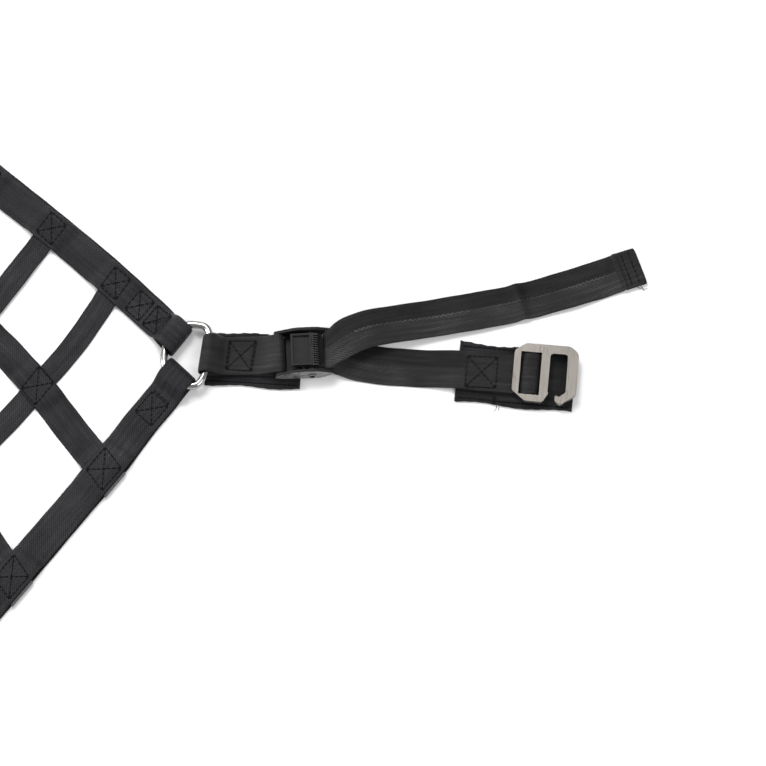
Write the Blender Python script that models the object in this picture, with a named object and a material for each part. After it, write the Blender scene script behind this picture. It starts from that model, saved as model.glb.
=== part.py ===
"""A cargo storage net laid flat: a lattice of sewn webbing, with a D-ring, a cam-buckle strap and
a flat G-hook at each of its four corners.

Sizes are millimetres and become metres where a mesh is made. Z is up, the net lies on z = 0, and
the origin is under the middle of the net. Each corner has a frame of its own: its origin is where
the centre lines of the two borders meet, and its x axis runs outwards along the strap.
"""

import math

import bmesh
import bpy
from mathutils import Matrix, Vector

MM = 0.001
GAP = 0.3

# Driving dimensions of the net
NET_THICKNESS = 1.2
BORDER_WIDTH = 21.0
LONG_WIDTH = 20.0
CROSS_WIDTH = 15.0
CROSS_STRAPS = 7
LONG_STRAPS = 4
CROSS_PITCH = 55.0
LONG_PITCH = 89.0
FIRST_CROSS = 70.0
FIRST_LONG = 92.5
LONG_HEADING = math.radians(136.4)
CROSS_HEADING = math.radians(231.7)
CROSS_SLACK = 2.2
LONG_SLACK = 0.8
END_INSET = 1.5
END_SHOWING = 1.8

# How far the laid net strays from straight lines: each strap's swing to either side of its line,
# and each border's sag with the distances from its ends where that starts and the run it takes
CROSS_SWINGS = (5.0, 4.0, 3.0, -2.0, -4.0, -3.0, -4.0)
LONG_SWINGS = (13.7, 18.0, 12.0, 7.0)
LONG_SAG = (5.0, 80.0, 120.0)
CROSS_SAG = (2.0, 50.0, 40.0)

# Driving dimensions of the ring and of the border loops round it
RING_WIRE = 4.8
RING_CENTRE = -4.7
RING_NET_REACH = 15.0
RING_BAR_REACH = 12.7
RING_HALF_HEIGHT = 20.2
RING_LEAN = math.radians(-8.0)
RING_NET_Z = 4.1
RING_PLAY = 1.5
FOLD_DISTANCE = 12.0
LOOP_TOP = 9.3
LOOP_FULL = 23.0
LOOP_DOWN = 32.0

# Driving dimensions of the strap, its pads and its hem
STRAP_WIDTH = 25.0
STRAP_THICKNESS = 1.4
PAD_THICKNESS = 1.6
HEM_LENGTH = 12.0
SEWN_FROM = 19.0
SEWN_TO = 38.0

# Driving dimensions of the buckle, in a frame of its own at its loop bar
BUCKLE_SPOT = 51.5
BUCKLE_TURN = math.radians(2.5)
BUCKLE_INSIDE = 26.0
CHEEK = 1.8
BAR_RADIUS = 2.0
LOOP_BAR_Z = 5.6
END_BAR_X = 31.0
END_BAR_Z = 8.0
PIVOT_X = 20.0
PIVOT_Z = 6.5
PIN_RADIUS = 2.0
LEVER_WIDTH = 21.0

# Driving dimensions of the hook, in a frame of its own at its left edge
HOOK_SPOT = (196.5, -12.0)
HOOK_TURN = math.radians(-5.0)
HOOK_THICKNESS = 3.0
SLOT_HALF = 14.0
SLOT_LEFT = 4.2
SLIDER_LEFT = 9.0
SLIDER_RIGHT = 13.0
SLOT_RIGHT = 17.0
SLIDER_THICKNESS = 2.0

# Heights that follow from the sizes above
LOWER_Z = PAD_THICKNESS + GAP + STRAP_THICKNESS / 2
UPPER_Z = LOWER_Z + STRAP_THICKNESS + GAP
RING_TURN = RING_WIRE / 2 + RING_PLAY + STRAP_THICKNESS / 2
RING_BAR_Z = LOWER_Z + RING_TURN
HOOK_Z = UPPER_Z + STRAP_THICKNESS / 2 + GAP
FRAME_Z = PAD_THICKNESS + GAP
NET_LOW = NET_THICKNESS / 2
NET_HIGH = NET_LOW + NET_THICKNESS + GAP
NET_TOP = NET_HIGH + NET_THICKNESS + GAP

LONG_SIDE = 2 * FIRST_CROSS + (CROSS_STRAPS - 1) * CROSS_PITCH
CROSS_SIDE = 2 * FIRST_LONG + (LONG_STRAPS - 1) * LONG_PITCH
LONG_WAY = Vector((math.cos(LONG_HEADING), math.sin(LONG_HEADING), 0.0))
CROSS_WAY = Vector((math.cos(CROSS_HEADING), math.sin(CROSS_HEADING), 0.0))
FIRST_CORNER = -(LONG_WAY * LONG_SIDE + CROSS_WAY * CROSS_SIDE) / 2


def clear_scene():
    for obj in list(bpy.data.objects):
        bpy.data.objects.remove(obj, do_unlink=True)


def material(name, colour, roughness, metallic):
    made = bpy.data.materials.new(name)
    made.use_nodes = True
    shader = made.node_tree.nodes["Principled BSDF"]
    shader.inputs["Base Color"].default_value = (*colour, 1.0)
    shader.inputs["Roughness"].default_value = roughness
    shader.inputs["Metallic"].default_value = metallic
    made.diffuse_color = (*colour, 1.0)
    return made


def eased(part):
    """0 to 1 with a soft start and a soft end."""
    part = min(max(part, 0.0), 1.0)
    return part * part * (3.0 - 2.0 * part)


def blended(first, second, part):
    return first + (second - first) * part


def curve_through(rows, steps):
    """Rows of numbers, with `steps` rows for each span, on a smooth curve through them all."""
    found = []
    last = len(rows) - 1
    for i in range(last):
        before = rows[max(i - 1, 0)]
        after = rows[min(i + 2, last)]
        for j in range(steps):
            t = j / steps
            row = []
            for a, b, c, d in zip(before, rows[i], rows[i + 1], after):
                swing = 2 * a - 5 * b + 4 * c - d
                lift = 3 * b - a - 3 * c + d
                row.append(b + 0.5 * t * (c - a + t * (swing + t * lift)))
            found.append(tuple(row))
    found.append(tuple(rows[last]))
    return found


def finished(mesh_maker, name):
    """A mesh in metres from a bmesh in millimetres, with its faces turned out."""
    bmesh.ops.recalc_face_normals(mesh_maker, faces=mesh_maker.faces)
    bmesh.ops.scale(mesh_maker, vec=(MM, MM, MM), verts=mesh_maker.verts)
    mesh = bpy.data.meshes.new(name)
    mesh_maker.to_mesh(mesh)
    mesh_maker.free()
    return mesh


def smoothed(mesh, degrees=35.0):
    mesh.shade_smooth()
    mesh.set_sharp_from_angle(angle=math.radians(degrees))
    return mesh


def band(name, stations, width, thickness, closed=False):
    """A flat strip of webbing: each station is its middle point and the way across it."""
    maker = bmesh.new()
    rings = []
    count = len(stations)
    for i, (middle, across) in enumerate(stations):
        after = stations[(i + 1) % count] if closed or i < count - 1 else stations[i]
        before = stations[i - 1] if closed or i else stations[i]
        along = (after[0] - before[0]).normalized()
        up = along.cross(across).normalized() * thickness / 2
        side = across.normalized() * width / 2
        corners = (middle + side + up, middle - side + up, middle - side - up, middle + side - up)
        rings.append([maker.verts.new(corner) for corner in corners])
    spans = count if closed else count - 1
    for i in range(spans):
        this, following = rings[i], rings[(i + 1) % count]
        for j in range(4):
            k = (j + 1) % 4
            maker.faces.new((this[j], this[k], following[k], following[j]))
    if not closed:
        maker.faces.new(rings[0])
        maker.faces.new(rings[-1])
    return finished(maker, name)


def prism(name, outline, low, high, upright=False):
    """An outline drawn out from low to high: along z, or along y where it stands upright."""
    maker = bmesh.new()
    levels = []
    for depth in (low, high):
        if upright:
            points = [(x, depth, z) for x, z in outline]
        else:
            points = [(x, y, depth) for x, y in outline]
        levels.append([maker.verts.new(point) for point in points])
    maker.faces.new(levels[0])
    maker.faces.new(levels[1])
    count = len(outline)
    for i in range(count):
        j = (i + 1) % count
        maker.faces.new((levels[0][i], levels[0][j], levels[1][j], levels[1][i]))
    return finished(maker, name)


def box(name, x, y, z):
    """A block from its (low, high) pairs."""
    outline = [(x[0], y[0]), (x[1], y[0]), (x[1], y[1]), (x[0], y[1])]
    return prism(name, outline, z[0], z[1])


def arc(centre, radius, start, end, steps):
    """Points on a round stretch, by angles in degrees."""
    angles = [math.radians(blended(start, end, i / steps)) for i in range(steps + 1)]
    return [(centre[0] + radius * math.cos(a), centre[1] + radius * math.sin(a)) for a in angles]


def rod(name, centre, radius, reach, sides):
    """A round bar across the strap, at an (x, z) centre."""
    outline = arc(centre, radius, 0.0, 360.0 * (sides - 1) / sides, sides - 1)
    return prism(name, outline, -reach, reach, upright=True)


def rounded(corners, steps=3):
    """An outline from rows of x, y and corner radius."""
    outline = []
    count = len(corners)
    for i, (x, y, radius) in enumerate(corners):
        here = Vector((x, y))
        before = Vector(corners[i - 1][:2]) - here
        after = Vector(corners[(i + 1) % count][:2]) - here
        half = before.angle(after) / 2
        pull = radius / math.tan(half)
        start = here + before.normalized() * pull
        end = here + after.normalized() * pull
        for j in range(steps + 1):
            t = j / steps
            point = start * (1 - t) ** 2 + here * 2 * t * (1 - t) + end * t * t
            outline.append((point.x, point.y))
    return outline


def combined(name, base, added=(), removed=()):
    """The base mesh with others joined to it and cut from it, as one new mesh."""
    subject = bpy.data.objects.new(name, base)
    bpy.context.scene.collection.objects.link(subject)
    helpers = [subject]
    for operation, meshes in (("UNION", added), ("DIFFERENCE", removed)):
        for mesh in meshes:
            helper = bpy.data.objects.new(mesh.name, mesh)
            helper.hide_render = True
            helper.display_type = "WIRE"
            bpy.context.scene.collection.objects.link(helper)
            helpers.append(helper)
            step = subject.modifiers.new(mesh.name, "BOOLEAN")
            step.operation = operation
            step.solver = "EXACT"
            step.object = helper
    bpy.context.view_layer.update()
    graph = bpy.context.evaluated_depsgraph_get()
    mesh = bpy.data.meshes.new_from_object(subject.evaluated_get(graph))
    mesh.name = name
    for helper in helpers:
        bpy.data.objects.remove(helper, do_unlink=True)
    return mesh


def place(name, mesh, look, spot=Matrix.Identity(4)):
    """A named piece that stands at a spot; its mesh may be shared with another piece."""
    piece = bpy.data.objects.new(name, mesh)
    bpy.context.scene.collection.objects.link(piece)
    piece.matrix_world = spot
    if not mesh.materials:
        mesh.materials.append(look)
    return piece


# The net. Distances along a strap start at the corner point where its borders' lines meet.


def on_net(along, across):
    """A point of the lattice in the plane, from distances along its two headings."""
    return FIRST_CORNER + LONG_WAY * along + CROSS_WAY * across


def crossing_height(distance, marks, half_zone, low, high, run=5.5):
    """low between the marks and high over each, with an even rise before and after it."""
    nearest = min(abs(distance - mark) for mark in marks)
    return blended(high, low, eased((nearest - half_zone) / run))


def slack(distance, marks, size, phase):
    """How far a strap wanders sideways between its crossings, never at a crossing."""
    for i in range(len(marks) - 1):
        low, high = marks[i], marks[i + 1]
        if low <= distance <= high:
            part = (distance - low) / (high - low)
            share = math.sin(1.9 * phase + 2.6 * i + 1.2)
            return size * share * math.sin(math.pi * eased(part))
    return 0.0


def stops(start, end, marks, half_zone, run=5.5):
    """The distances where a strap's path bends up to its marks and down from them."""
    steps = (-half_zone - run, -half_zone, half_zone, half_zone + run)
    found = {start, end, *[mark + step for mark in marks for step in steps]}
    return {distance for distance in found if start <= distance <= end}


def between(marks, shares):
    """The distances at these shares of each span between two marks."""
    return {blended(low, high, share) for low, high in zip(marks, marks[1:]) for share in shares}


def swing(distance, length, size):
    """A strap's wide S: off to one side in its first half and to the other in its second."""
    return size * math.sin(math.tau * distance / length)


def sag(distance, length, facts):
    """How far a border lies off its line, between the stretches near its ends."""
    size, start, run = facts
    return size * eased((min(distance, length - distance) - start) / run)


def inner_strap(name, ways, width, line, ends, crossings, raised, size, phase, shares):
    """A strap across the net, its ends between the two layers of the borders it meets.

    line is its place along the other heading, its length and its swing; ends are the distances
    where it meets the middles of the borders. It rises over the raised crossings.
    """
    way, other = ways
    side, length, swings = line
    zone = BORDER_WIDTH / 2 + 0.5
    first = ends[0] - BORDER_WIDTH / 2 + END_INSET
    last = ends[1] + BORDER_WIDTH / 2 + END_SHOWING
    flat = Vector((-way.y, way.x, 0.0))
    fixed = [ends[0], *crossings, ends[1]]
    raised = [ends[0], *raised, ends[1]]
    stations = []
    for distance in sorted(stops(first, last, raised, zone) | between(fixed, shares)):
        height = crossing_height(distance, raised, zone, NET_LOW, NET_HIGH)
        middle = FIRST_CORNER + way * distance
        middle += other * (side - swing(distance, length, swings))
        middle += flat * slack(distance, fixed, size, phase)
        stations.append((middle + Vector((0, 0, height)), flat))
    return band(name, stations, width, NET_THICKNESS)


def border(name, corner, way, length, marks, zone, sagging):
    """A border: one webbing run doubled between two rings and sewn flat round the strap ends."""
    flat = Vector((-way.y, way.x, 0.0))
    turn_radius = (LOOP_TOP - NET_LOW) / 2
    start, end = FOLD_DISTANCE + turn_radius, length - FOLD_DISTANCE - turn_radius

    def upper_height(distance):
        near = min(distance, length - distance)
        loop = 1.0 - eased((near - LOOP_FULL) / (LOOP_DOWN - LOOP_FULL))
        sewn = crossing_height(distance, marks, zone, NET_HIGH, NET_TOP)
        return blended(sewn, LOOP_TOP, loop)

    ends = [LOOP_FULL + (LOOP_DOWN - LOOP_FULL) * i / 4 for i in range(5)]
    bends = set(marks) | between([start, *marks, end], (0.5,))
    upper = {start, end, *ends, *[length - value for value in ends]}
    upper |= set(stops(start, end, marks, zone)) | bends
    path = [(distance, NET_LOW) for distance in (end, *sorted(bends, reverse=True), start)]
    path += arc((start, NET_LOW + turn_radius), turn_radius, 247.5, 112.5, 6)
    path += [(distance, upper_height(distance)) for distance in sorted(upper)]
    path += arc((end, NET_LOW + turn_radius), turn_radius, 67.5, -67.5, 6)
    stations = []
    for distance, z in path:
        aside = flat * sag(distance, length, sagging)
        stations.append((corner + way * distance + aside + Vector((0, 0, z)), flat))
    return band(name, stations, BORDER_WIDTH, NET_THICKNESS, closed=True)


def make_net(look):
    cross_at = [FIRST_CROSS + CROSS_PITCH * i for i in range(CROSS_STRAPS)]
    long_at = [FIRST_LONG + LONG_PITCH * i for i in range(LONG_STRAPS)]
    cross_zone = CROSS_WIDTH / 2 + 2.0
    long_zone = LONG_WIDTH / 2 + 3.5
    for i, (side, swings) in enumerate(zip(cross_at, CROSS_SWINGS)):
        name = f"cross_strap_{i + 1}"
        line = (side, CROSS_SIDE, swings)
        met = sag(side, LONG_SIDE, LONG_SAG)
        ends = (met, CROSS_SIDE - met)
        ways = (CROSS_WAY, LONG_WAY)
        shares = (0.25, 0.5, 0.75)
        mesh = inner_strap(
            name, ways, CROSS_WIDTH, line, ends, long_at, (), CROSS_SLACK, i, shares
        )
        place(name, mesh, look)
    for i, (side, swings) in enumerate(zip(long_at, LONG_SWINGS)):
        name = f"long_strap_{i + 1}"
        line = (side, LONG_SIDE, swings)
        met = sag(side, CROSS_SIDE, CROSS_SAG)
        ends = (-met, LONG_SIDE + met)
        ways = (LONG_WAY, CROSS_WAY)
        crossed = []
        for place_along, other_swings in zip(cross_at, CROSS_SWINGS):
            here = side - swing(place_along, LONG_SIDE, swings)
            crossed.append(place_along - swing(here, CROSS_SIDE, other_swings))
        mesh = inner_strap(
            name, ways, LONG_WIDTH, line, ends, crossed, crossed, LONG_SLACK, i, (0.5,)
        )
        place(name, mesh, look)
    inwards, outwards = LONG_SAG, CROSS_SAG
    other_inwards = (-LONG_SAG[0], *LONG_SAG[1:])
    other_outwards = (-CROSS_SAG[0], *CROSS_SAG[1:])
    borders = (
        ("border_upper", on_net(0, 0), LONG_WAY, LONG_SIDE, cross_at, cross_zone, inwards),
        ("border_lower", on_net(0, 0), CROSS_WAY, CROSS_SIDE, long_at, long_zone, outwards),
        ("border_rear", on_net(0, CROSS_SIDE), LONG_WAY, LONG_SIDE, cross_at, cross_zone,
         other_inwards),
        ("border_side", on_net(LONG_SIDE, 0), CROSS_WAY, CROSS_SIDE, long_at, long_zone,
         other_outwards),
    )
    for name, corner, way, length, marks, zone, sagging in borders:
        place(name, border(name, corner, way, length, marks, zone, sagging), look)


# The corner pieces, each in its corner's own frame.


def ring_height(x):
    """The ring lies aslant: its straight bar is over the pad and its round side in the net."""
    share = (x + RING_NET_REACH) / (RING_NET_REACH + RING_BAR_REACH)
    return blended(RING_NET_Z, RING_BAR_Z, share)


def ring_mesh(name, around=28, sides=8):
    """A wire bent to a D: half an ellipse towards the net and a straight bar in the strap."""
    route = []
    for i in range(around):
        angle = math.tau * i / around
        x, y = math.cos(angle), math.sin(angle)
        if x > 0:
            x = RING_BAR_REACH * x**0.4
            y = RING_HALF_HEIGHT * math.copysign(abs(y) ** 0.95, y)
        else:
            x = RING_NET_REACH * x
            y = RING_HALF_HEIGHT * y
        height = ring_height(x)
        x, y = Matrix.Rotation(RING_LEAN, 2) @ Vector((x, y))
        route.append(Vector((x + RING_CENTRE, y, height)))
    maker = bmesh.new()
    rings = []
    for i, middle in enumerate(route):
        along = (route[(i + 1) % around] - route[i - 1]).normalized()
        out = along.cross(Vector((0, 0, 1))).normalized()
        up = out.cross(along)
        turns = [math.tau * (j + 0.5) / sides for j in range(sides)]
        radius = RING_WIRE / 2
        spots = [middle + (out * math.cos(a) + up * math.sin(a)) * radius for a in turns]
        rings.append([maker.verts.new(spot) for spot in spots])
    for i in range(around):
        this, following = rings[i], rings[(i + 1) % around]
        for j in range(sides):
            k = (j + 1) % sides
            maker.faces.new((this[j], this[k], following[k], following[j]))
    return smoothed(finished(maker, name), 60.0)


def leaning(angle):
    """The way across a strap whose own line is turned by this angle."""
    return Vector((-math.sin(angle), math.cos(angle), 0.0))


def loop_mesh(name):
    """The short sewn loop from the ring's bar to the buckle's loop bar."""
    bar_x = RING_CENTRE + RING_BAR_REACH
    buckle_turn = BAR_RADIUS + GAP + STRAP_THICKNESS / 2
    ring_top = RING_BAR_Z + RING_TURN
    buckle_top = LOOP_BAR_Z + buckle_turn
    path = arc((BUCKLE_SPOT, LOOP_BAR_Z), buckle_turn, -90.0, 90.0, 8)
    rise = BUCKLE_SPOT - SEWN_TO
    for share in (0.25, 0.5, 0.75, 1.0):
        height = blended(buckle_top, UPPER_Z, eased(share))
        path.append((BUCKLE_SPOT - rise * share, height))
    fall = SEWN_FROM - bar_x
    for share in (0.0, 0.25, 0.5, 0.75):
        height = blended(UPPER_Z, ring_top, eased(share))
        path.append((SEWN_FROM - fall * share, height))
    path += arc((bar_x, RING_BAR_Z), RING_TURN, 90.0, 270.0, 8)
    path += [(bar_x + 4.0, LOWER_Z), (SEWN_FROM, LOWER_Z), (SEWN_TO, LOWER_Z)]
    stations = []
    for x, z in path:
        share = eased((x - bar_x) / (SEWN_FROM - bar_x))
        turned = blended(RING_LEAN, 0.0, share)
        turned += BUCKLE_TURN * eased((x - SEWN_TO) / (BUCKLE_SPOT - SEWN_TO))
        stations.append((Vector((x, 0.0, z)), leaning(turned)))
    return band(name, stations, STRAP_WIDTH, STRAP_THICKNESS, closed=True)


def wavy_pad(name, length, width, waves):
    """A rectangle of doubled webbing whose long edges wander a little."""
    outline = []
    steps = 10
    for edge in (-1, 1):
        for i in range(steps + 1):
            share = i / steps if edge < 0 else 1 - i / steps
            wander = waves * math.sin(math.tau * share * 1.4 + edge + length)
            outline.append(((share - 0.5) * length, edge * (width / 2 + wander)))
    return prism(name, outline, 0.0, PAD_THICKNESS)


def buckle_frame_mesh(name):
    """Two cheeks joined by the loop bar, a floor plate and the end bar."""
    half = BUCKLE_INSIDE / 2
    outline = arc((0.0, LOOP_BAR_Z), 2.8, 105.0, 255.0, 5)
    outline += [(4.0, FRAME_Z), (25.0, FRAME_Z)]
    outline += arc((END_BAR_X, END_BAR_Z), 2.3, -75.0, 75.0, 5)
    outline += [(27.0, 12.0), (22.5, 13.4), (12.0, 13.4), (6.0, 11.2)]
    cheeks = [
        prism("cheek", outline, side * half - (CHEEK if side < 0 else 0.0),
              side * half + (CHEEK if side > 0 else 0.0), upright=True)
        for side in (-1, 1)
    ]
    plate = box("floor_plate", (4.5, 14.0), (-half - 1.0, half + 1.0), (FRAME_Z + 0.01, 3.5))
    loop_bar = rod("loop_bar", (0.0, LOOP_BAR_Z), BAR_RADIUS, half + 1.0, 12)
    end_bar = rod("end_bar", (END_BAR_X, END_BAR_Z), BAR_RADIUS, half + 1.0, 12)
    hole = rod("pin_hole", (PIVOT_X, PIVOT_Z), PIN_RADIUS + GAP, half + 6.0, 16)
    added = (cheeks[1], loop_bar, end_bar)
    joined = combined(name, plate, added=(cheeks[0], *added), removed=(hole,))
    return smoothed(joined)


def lever_mesh(name):
    """The cam lever: a thumb plate with a ribbed edge, a hub on the pin and three teeth."""
    profile = [(7.5, 11.8), (15.0, 10.9), (16.2, 8.0)]
    profile += arc((PIVOT_X, PIVOT_Z), 3.9, 180.0, 320.0, 6)
    for tip_z in (7.0, 8.7, 10.4):
        profile += [(25.4, tip_z - 0.85), (26.8, tip_z)]
    profile += [(25.2, 11.4), (24.6, 12.7), (23.6, 13.2), (23.0, 14.0), (22.2, 13.5)]
    profile += [(21.6, 14.3), (20.8, 13.8), (20.2, 14.5), (8.2, 14.2), (7.5, 13.7)]
    half = LEVER_WIDTH / 2
    body = prism("lever_body", profile, -half, half, upright=True)
    hole = rod("lever_hole", (PIVOT_X, PIVOT_Z), PIN_RADIUS + GAP, half + 2.0, 16)
    dish = box("dish", (9.4, 18.6), (-half + 2.0, half - 2.0), (13.5, 16.0))
    return smoothed(combined(name, body, removed=(hole, dish)), 40.0)


def pin_mesh(name, sides=14):
    """The rivet through the cheeks and the lever, with a low head outside each cheek."""
    reach = BUCKLE_INSIDE / 2 + CHEEK + GAP
    profile = [(2.0, reach + 0.7), (2.9, reach + 0.4), (2.9, reach), (PIN_RADIUS, reach)]
    profile += [(radius, -y) for radius, y in reversed(profile)]
    maker = bmesh.new()
    rings = []
    for radius, y in profile:
        turns = [math.tau * i / sides for i in range(sides)]
        spots = [
            (PIVOT_X + radius * math.cos(a), y, PIVOT_Z + radius * math.sin(a)) for a in turns
        ]
        rings.append([maker.verts.new(spot) for spot in spots])
    for this, following in zip(rings, rings[1:]):
        for j in range(sides):
            k = (j + 1) % sides
            maker.faces.new((this[j], this[k], following[k], following[j]))
    maker.faces.new(rings[0])
    maker.faces.new(rings[-1])
    return smoothed(finished(maker, name))


def hook_point(x, z, turn=HOOK_TURN):
    """A point on the hook's middle line, in the corner's frame, from the hook's own x and z."""
    return Vector((HOOK_SPOT[0] + x * math.cos(turn), HOOK_SPOT[1] + x * math.sin(turn), z))


def buckle_point(x, y, z):
    turned = Matrix.Rotation(BUCKLE_TURN, 2) @ Vector((x, y))
    return Vector((turned.x + BUCKLE_SPOT, turned.y, z))


def tail_stations():
    """The free tail, from under its folded hem back to the top of the end bar."""
    # x, y, z and heading in degrees of the tail's middle line
    rows = (
        (275.5, 60.5, 0.7, 19.5),
        (263.0, 56.0, 0.75, 19.0),
        (249.0, 51.0, 0.8, 18.0),
        (229.5, 44.2, 1.9, 16.5),
        (203.5, 37.0, 1.0, 14.5),
        (176.0, 30.6, 2.4, 12.5),
        (147.0, 24.8, 3.4, 10.5),
        (124.0, 20.6, 5.6, 11.5),
        (107.0, 16.6, 8.0, 15.0),
        (95.5, 11.2, 10.2, 18.0),
        (87.5, 5.6, 11.6, 12.0),
    )
    end = Vector(rows[0][:2])
    heading = math.radians(rows[0][3])
    along = Vector((math.cos(heading), math.sin(heading)))
    low = STRAP_THICKNESS / 2
    high = low + STRAP_THICKNESS + GAP
    folded = [(-HEM_LENGTH, low), (-HEM_LENGTH / 2, low), *[
        (x, z) for x, z in arc((0.0, (low + high) / 2), (high - low) / 2, -90.0, 90.0, 4)
    ], (-HEM_LENGTH / 2, high), (-HEM_LENGTH - 1.0, high)]
    stations = []
    for reach, z in folded:
        spot = end + along * reach
        stations.append((Vector((spot.x, spot.y, z)), leaning(heading)))
    for x, y, z, degrees in curve_through(rows[2:], 3):
        stations.append((Vector((x, y, z)), leaning(math.radians(degrees))))
    return stations


def strap_mesh(name):
    """The long strap: tail, turn round the end bar, run, and the sewn loop in the hook."""
    turn_radius = BAR_RADIUS + GAP + STRAP_THICKNESS / 2
    stations = tail_stations()
    for x, z in arc((END_BAR_X, END_BAR_Z), turn_radius, 90.0, 270.0, 8):
        lift = (z - END_BAR_Z) / turn_radius
        across = leaning(BUCKLE_TURN + math.radians(2.0 * lift))
        stations.append((buckle_point(x, 0.3 * lift, z), across))
    # x, y, z and heading in degrees of the run's middle line
    rows = (
        (91.0, -0.6, 2.8, -6.0),
        (101.0, -3.0, 0.9, -9.0),
        (116.0, -5.4, 0.75, -5.5),
        (138.0, -7.2, 0.75, -4.6),
        (151.0, -8.2, 2.2, -4.6),
        (162.0, -9.1, UPPER_Z, -4.8),
        (176.0, -10.25, UPPER_Z, -5.0),
    )
    for x, y, z, degrees in curve_through(rows, 2):
        stations.append((Vector((x, y, min(z, UPPER_Z))), leaning(math.radians(degrees))))
    # x and z of the turn over the slider bar, in the hook's frame
    over = (
        (-6.0, UPPER_Z), (3.2, UPPER_Z), (5.0, 4.4), (6.3, 5.3), (7.2, 6.8), (8.1, 8.05),
        (9.6, 8.3), (12.4, 8.3), (13.9, 8.05), (14.8, 6.8), (15.0, 4.8), (14.2, 3.4),
        (12.6, 2.7), (11.0, LOWER_Z), (-30.5, LOWER_Z),
    )
    for x, z in over:
        stations.append((hook_point(x, z), leaning(HOOK_TURN)))
    return band(name, stations, STRAP_WIDTH, STRAP_THICKNESS)


def hook_mesh(name):
    """The flat G-hook: a slotted frame for the webbing and an open mouth beyond it."""
    # x, y and corner radius
    outline = rounded((
        (0.0, -12.0, 1.5), (8.5, -18.3, 2.5), (19.6, -18.3, 1.6), (22.8, -12.4, 0.8),
        (22.2, -11.0, 0.6), (22.4, 14.0, 2.2), (33.2, 14.0, 2.2), (33.4, -11.0, 2.6),
        (29.6, -14.2, 1.4), (26.7, -13.2, 1.0), (27.3, -17.6, 1.8), (30.8, -19.4, 2.2),
        (40.2, -11.8, 3.4), (39.9, 15.2, 2.8), (34.8, 19.6, 2.8), (6.9, 19.6, 2.8),
        (0.0, 14.4, 1.8),
    ), steps=2)
    top = HOOK_Z + HOOK_THICKNESS
    plate = prism("plate", outline, HOOK_Z, top)
    span = (-SLOT_HALF, SLOT_HALF)
    through = (HOOK_Z - 1.0, top + 1.0)
    cuts = (
        box("slot_in", (SLOT_LEFT, SLIDER_LEFT), span, through),
        box("slot_out", (SLIDER_RIGHT, SLOT_RIGHT), span, through),
        box("over_slider", (SLIDER_LEFT - 1.0, SLIDER_RIGHT + 1.0), span,
            (HOOK_Z + SLIDER_THICKNESS, top + 1.0)),
    )
    return combined(name, plate, removed=cuts)


def make_corners(fabric, nickel, black_metal):
    spot = Matrix.Translation(Vector((HOOK_SPOT[0], HOOK_SPOT[1], 0.0)) * MM)
    hook_frame = spot @ Matrix.Rotation(HOOK_TURN, 4, "Z")
    buckle_frame = Matrix.Translation((BUCKLE_SPOT * MM, 0.0, 0.0))
    buckle_frame @= Matrix.Rotation(BUCKLE_TURN, 4, "Z")
    loop_pad = Matrix.Translation(Vector((36.0, -2.2, 0.0)) * MM)
    loop_pad @= Matrix.Rotation(math.radians(-3.5), 4, "Z")
    hook_pad = Matrix.Translation(Vector((198.4, -13.1, 0.0)) * MM)
    hook_pad @= Matrix.Rotation(math.radians(-6.0), 4, "Z")
    pieces = (
        ("ring", ring_mesh("ring"), nickel, Matrix.Identity(4)),
        ("loop", loop_mesh("loop"), fabric, Matrix.Identity(4)),
        ("loop_pad", wavy_pad("loop_pad", 59.0, 36.5, 0.7), fabric, loop_pad),
        ("buckle", buckle_frame_mesh("buckle"), black_metal, buckle_frame),
        ("lever", lever_mesh("lever"), black_metal, buckle_frame),
        ("pin", pin_mesh("pin"), nickel, buckle_frame),
        ("strap", strap_mesh("strap"), fabric, Matrix.Identity(4)),
        ("hook_pad", wavy_pad("hook_pad", 73.0, 41.0, 0.9), fabric, hook_pad),
        ("hook", hook_mesh("hook"), nickel, hook_frame),
    )
    corners = (
        on_net(0, 0), on_net(LONG_SIDE, 0), on_net(LONG_SIDE, CROSS_SIDE), on_net(0, CROSS_SIDE)
    )
    for i, corner in enumerate(corners):
        stand = Matrix.Translation(corner * MM) @ Matrix.Rotation(i * math.pi / 2, 4, "Z")
        for name, mesh, look, frame in pieces:
            place(f"{name}_{i + 1}", mesh, look, stand @ frame)


def main():
    clear_scene()
    fabric = material("black_webbing", (0.035, 0.033, 0.036), 0.85, 0.0)
    nickel = material("brushed_nickel", (0.52, 0.49, 0.45), 0.35, 1.0)
    black_metal = material("black_buckle", (0.02, 0.02, 0.021), 0.4, 0.6)
    make_net(fabric)
    make_corners(fabric, nickel, black_metal)


main()
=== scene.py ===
"""The looks of the storage net: woven webbing, sewn boxes, bright rings, black cam buckles and
brushed flat hooks, laid on a pale floor.

Sizes are millimetres and become metres where a mesh is made, as in the part's own source. Each
corner has a frame of its own: its origin is where the centre lines of the two borders meet, and its
x axis runs outwards along the strap.
"""

import math

import bmesh
import bpy
import numpy as np
from mathutils import Matrix, Vector


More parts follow.
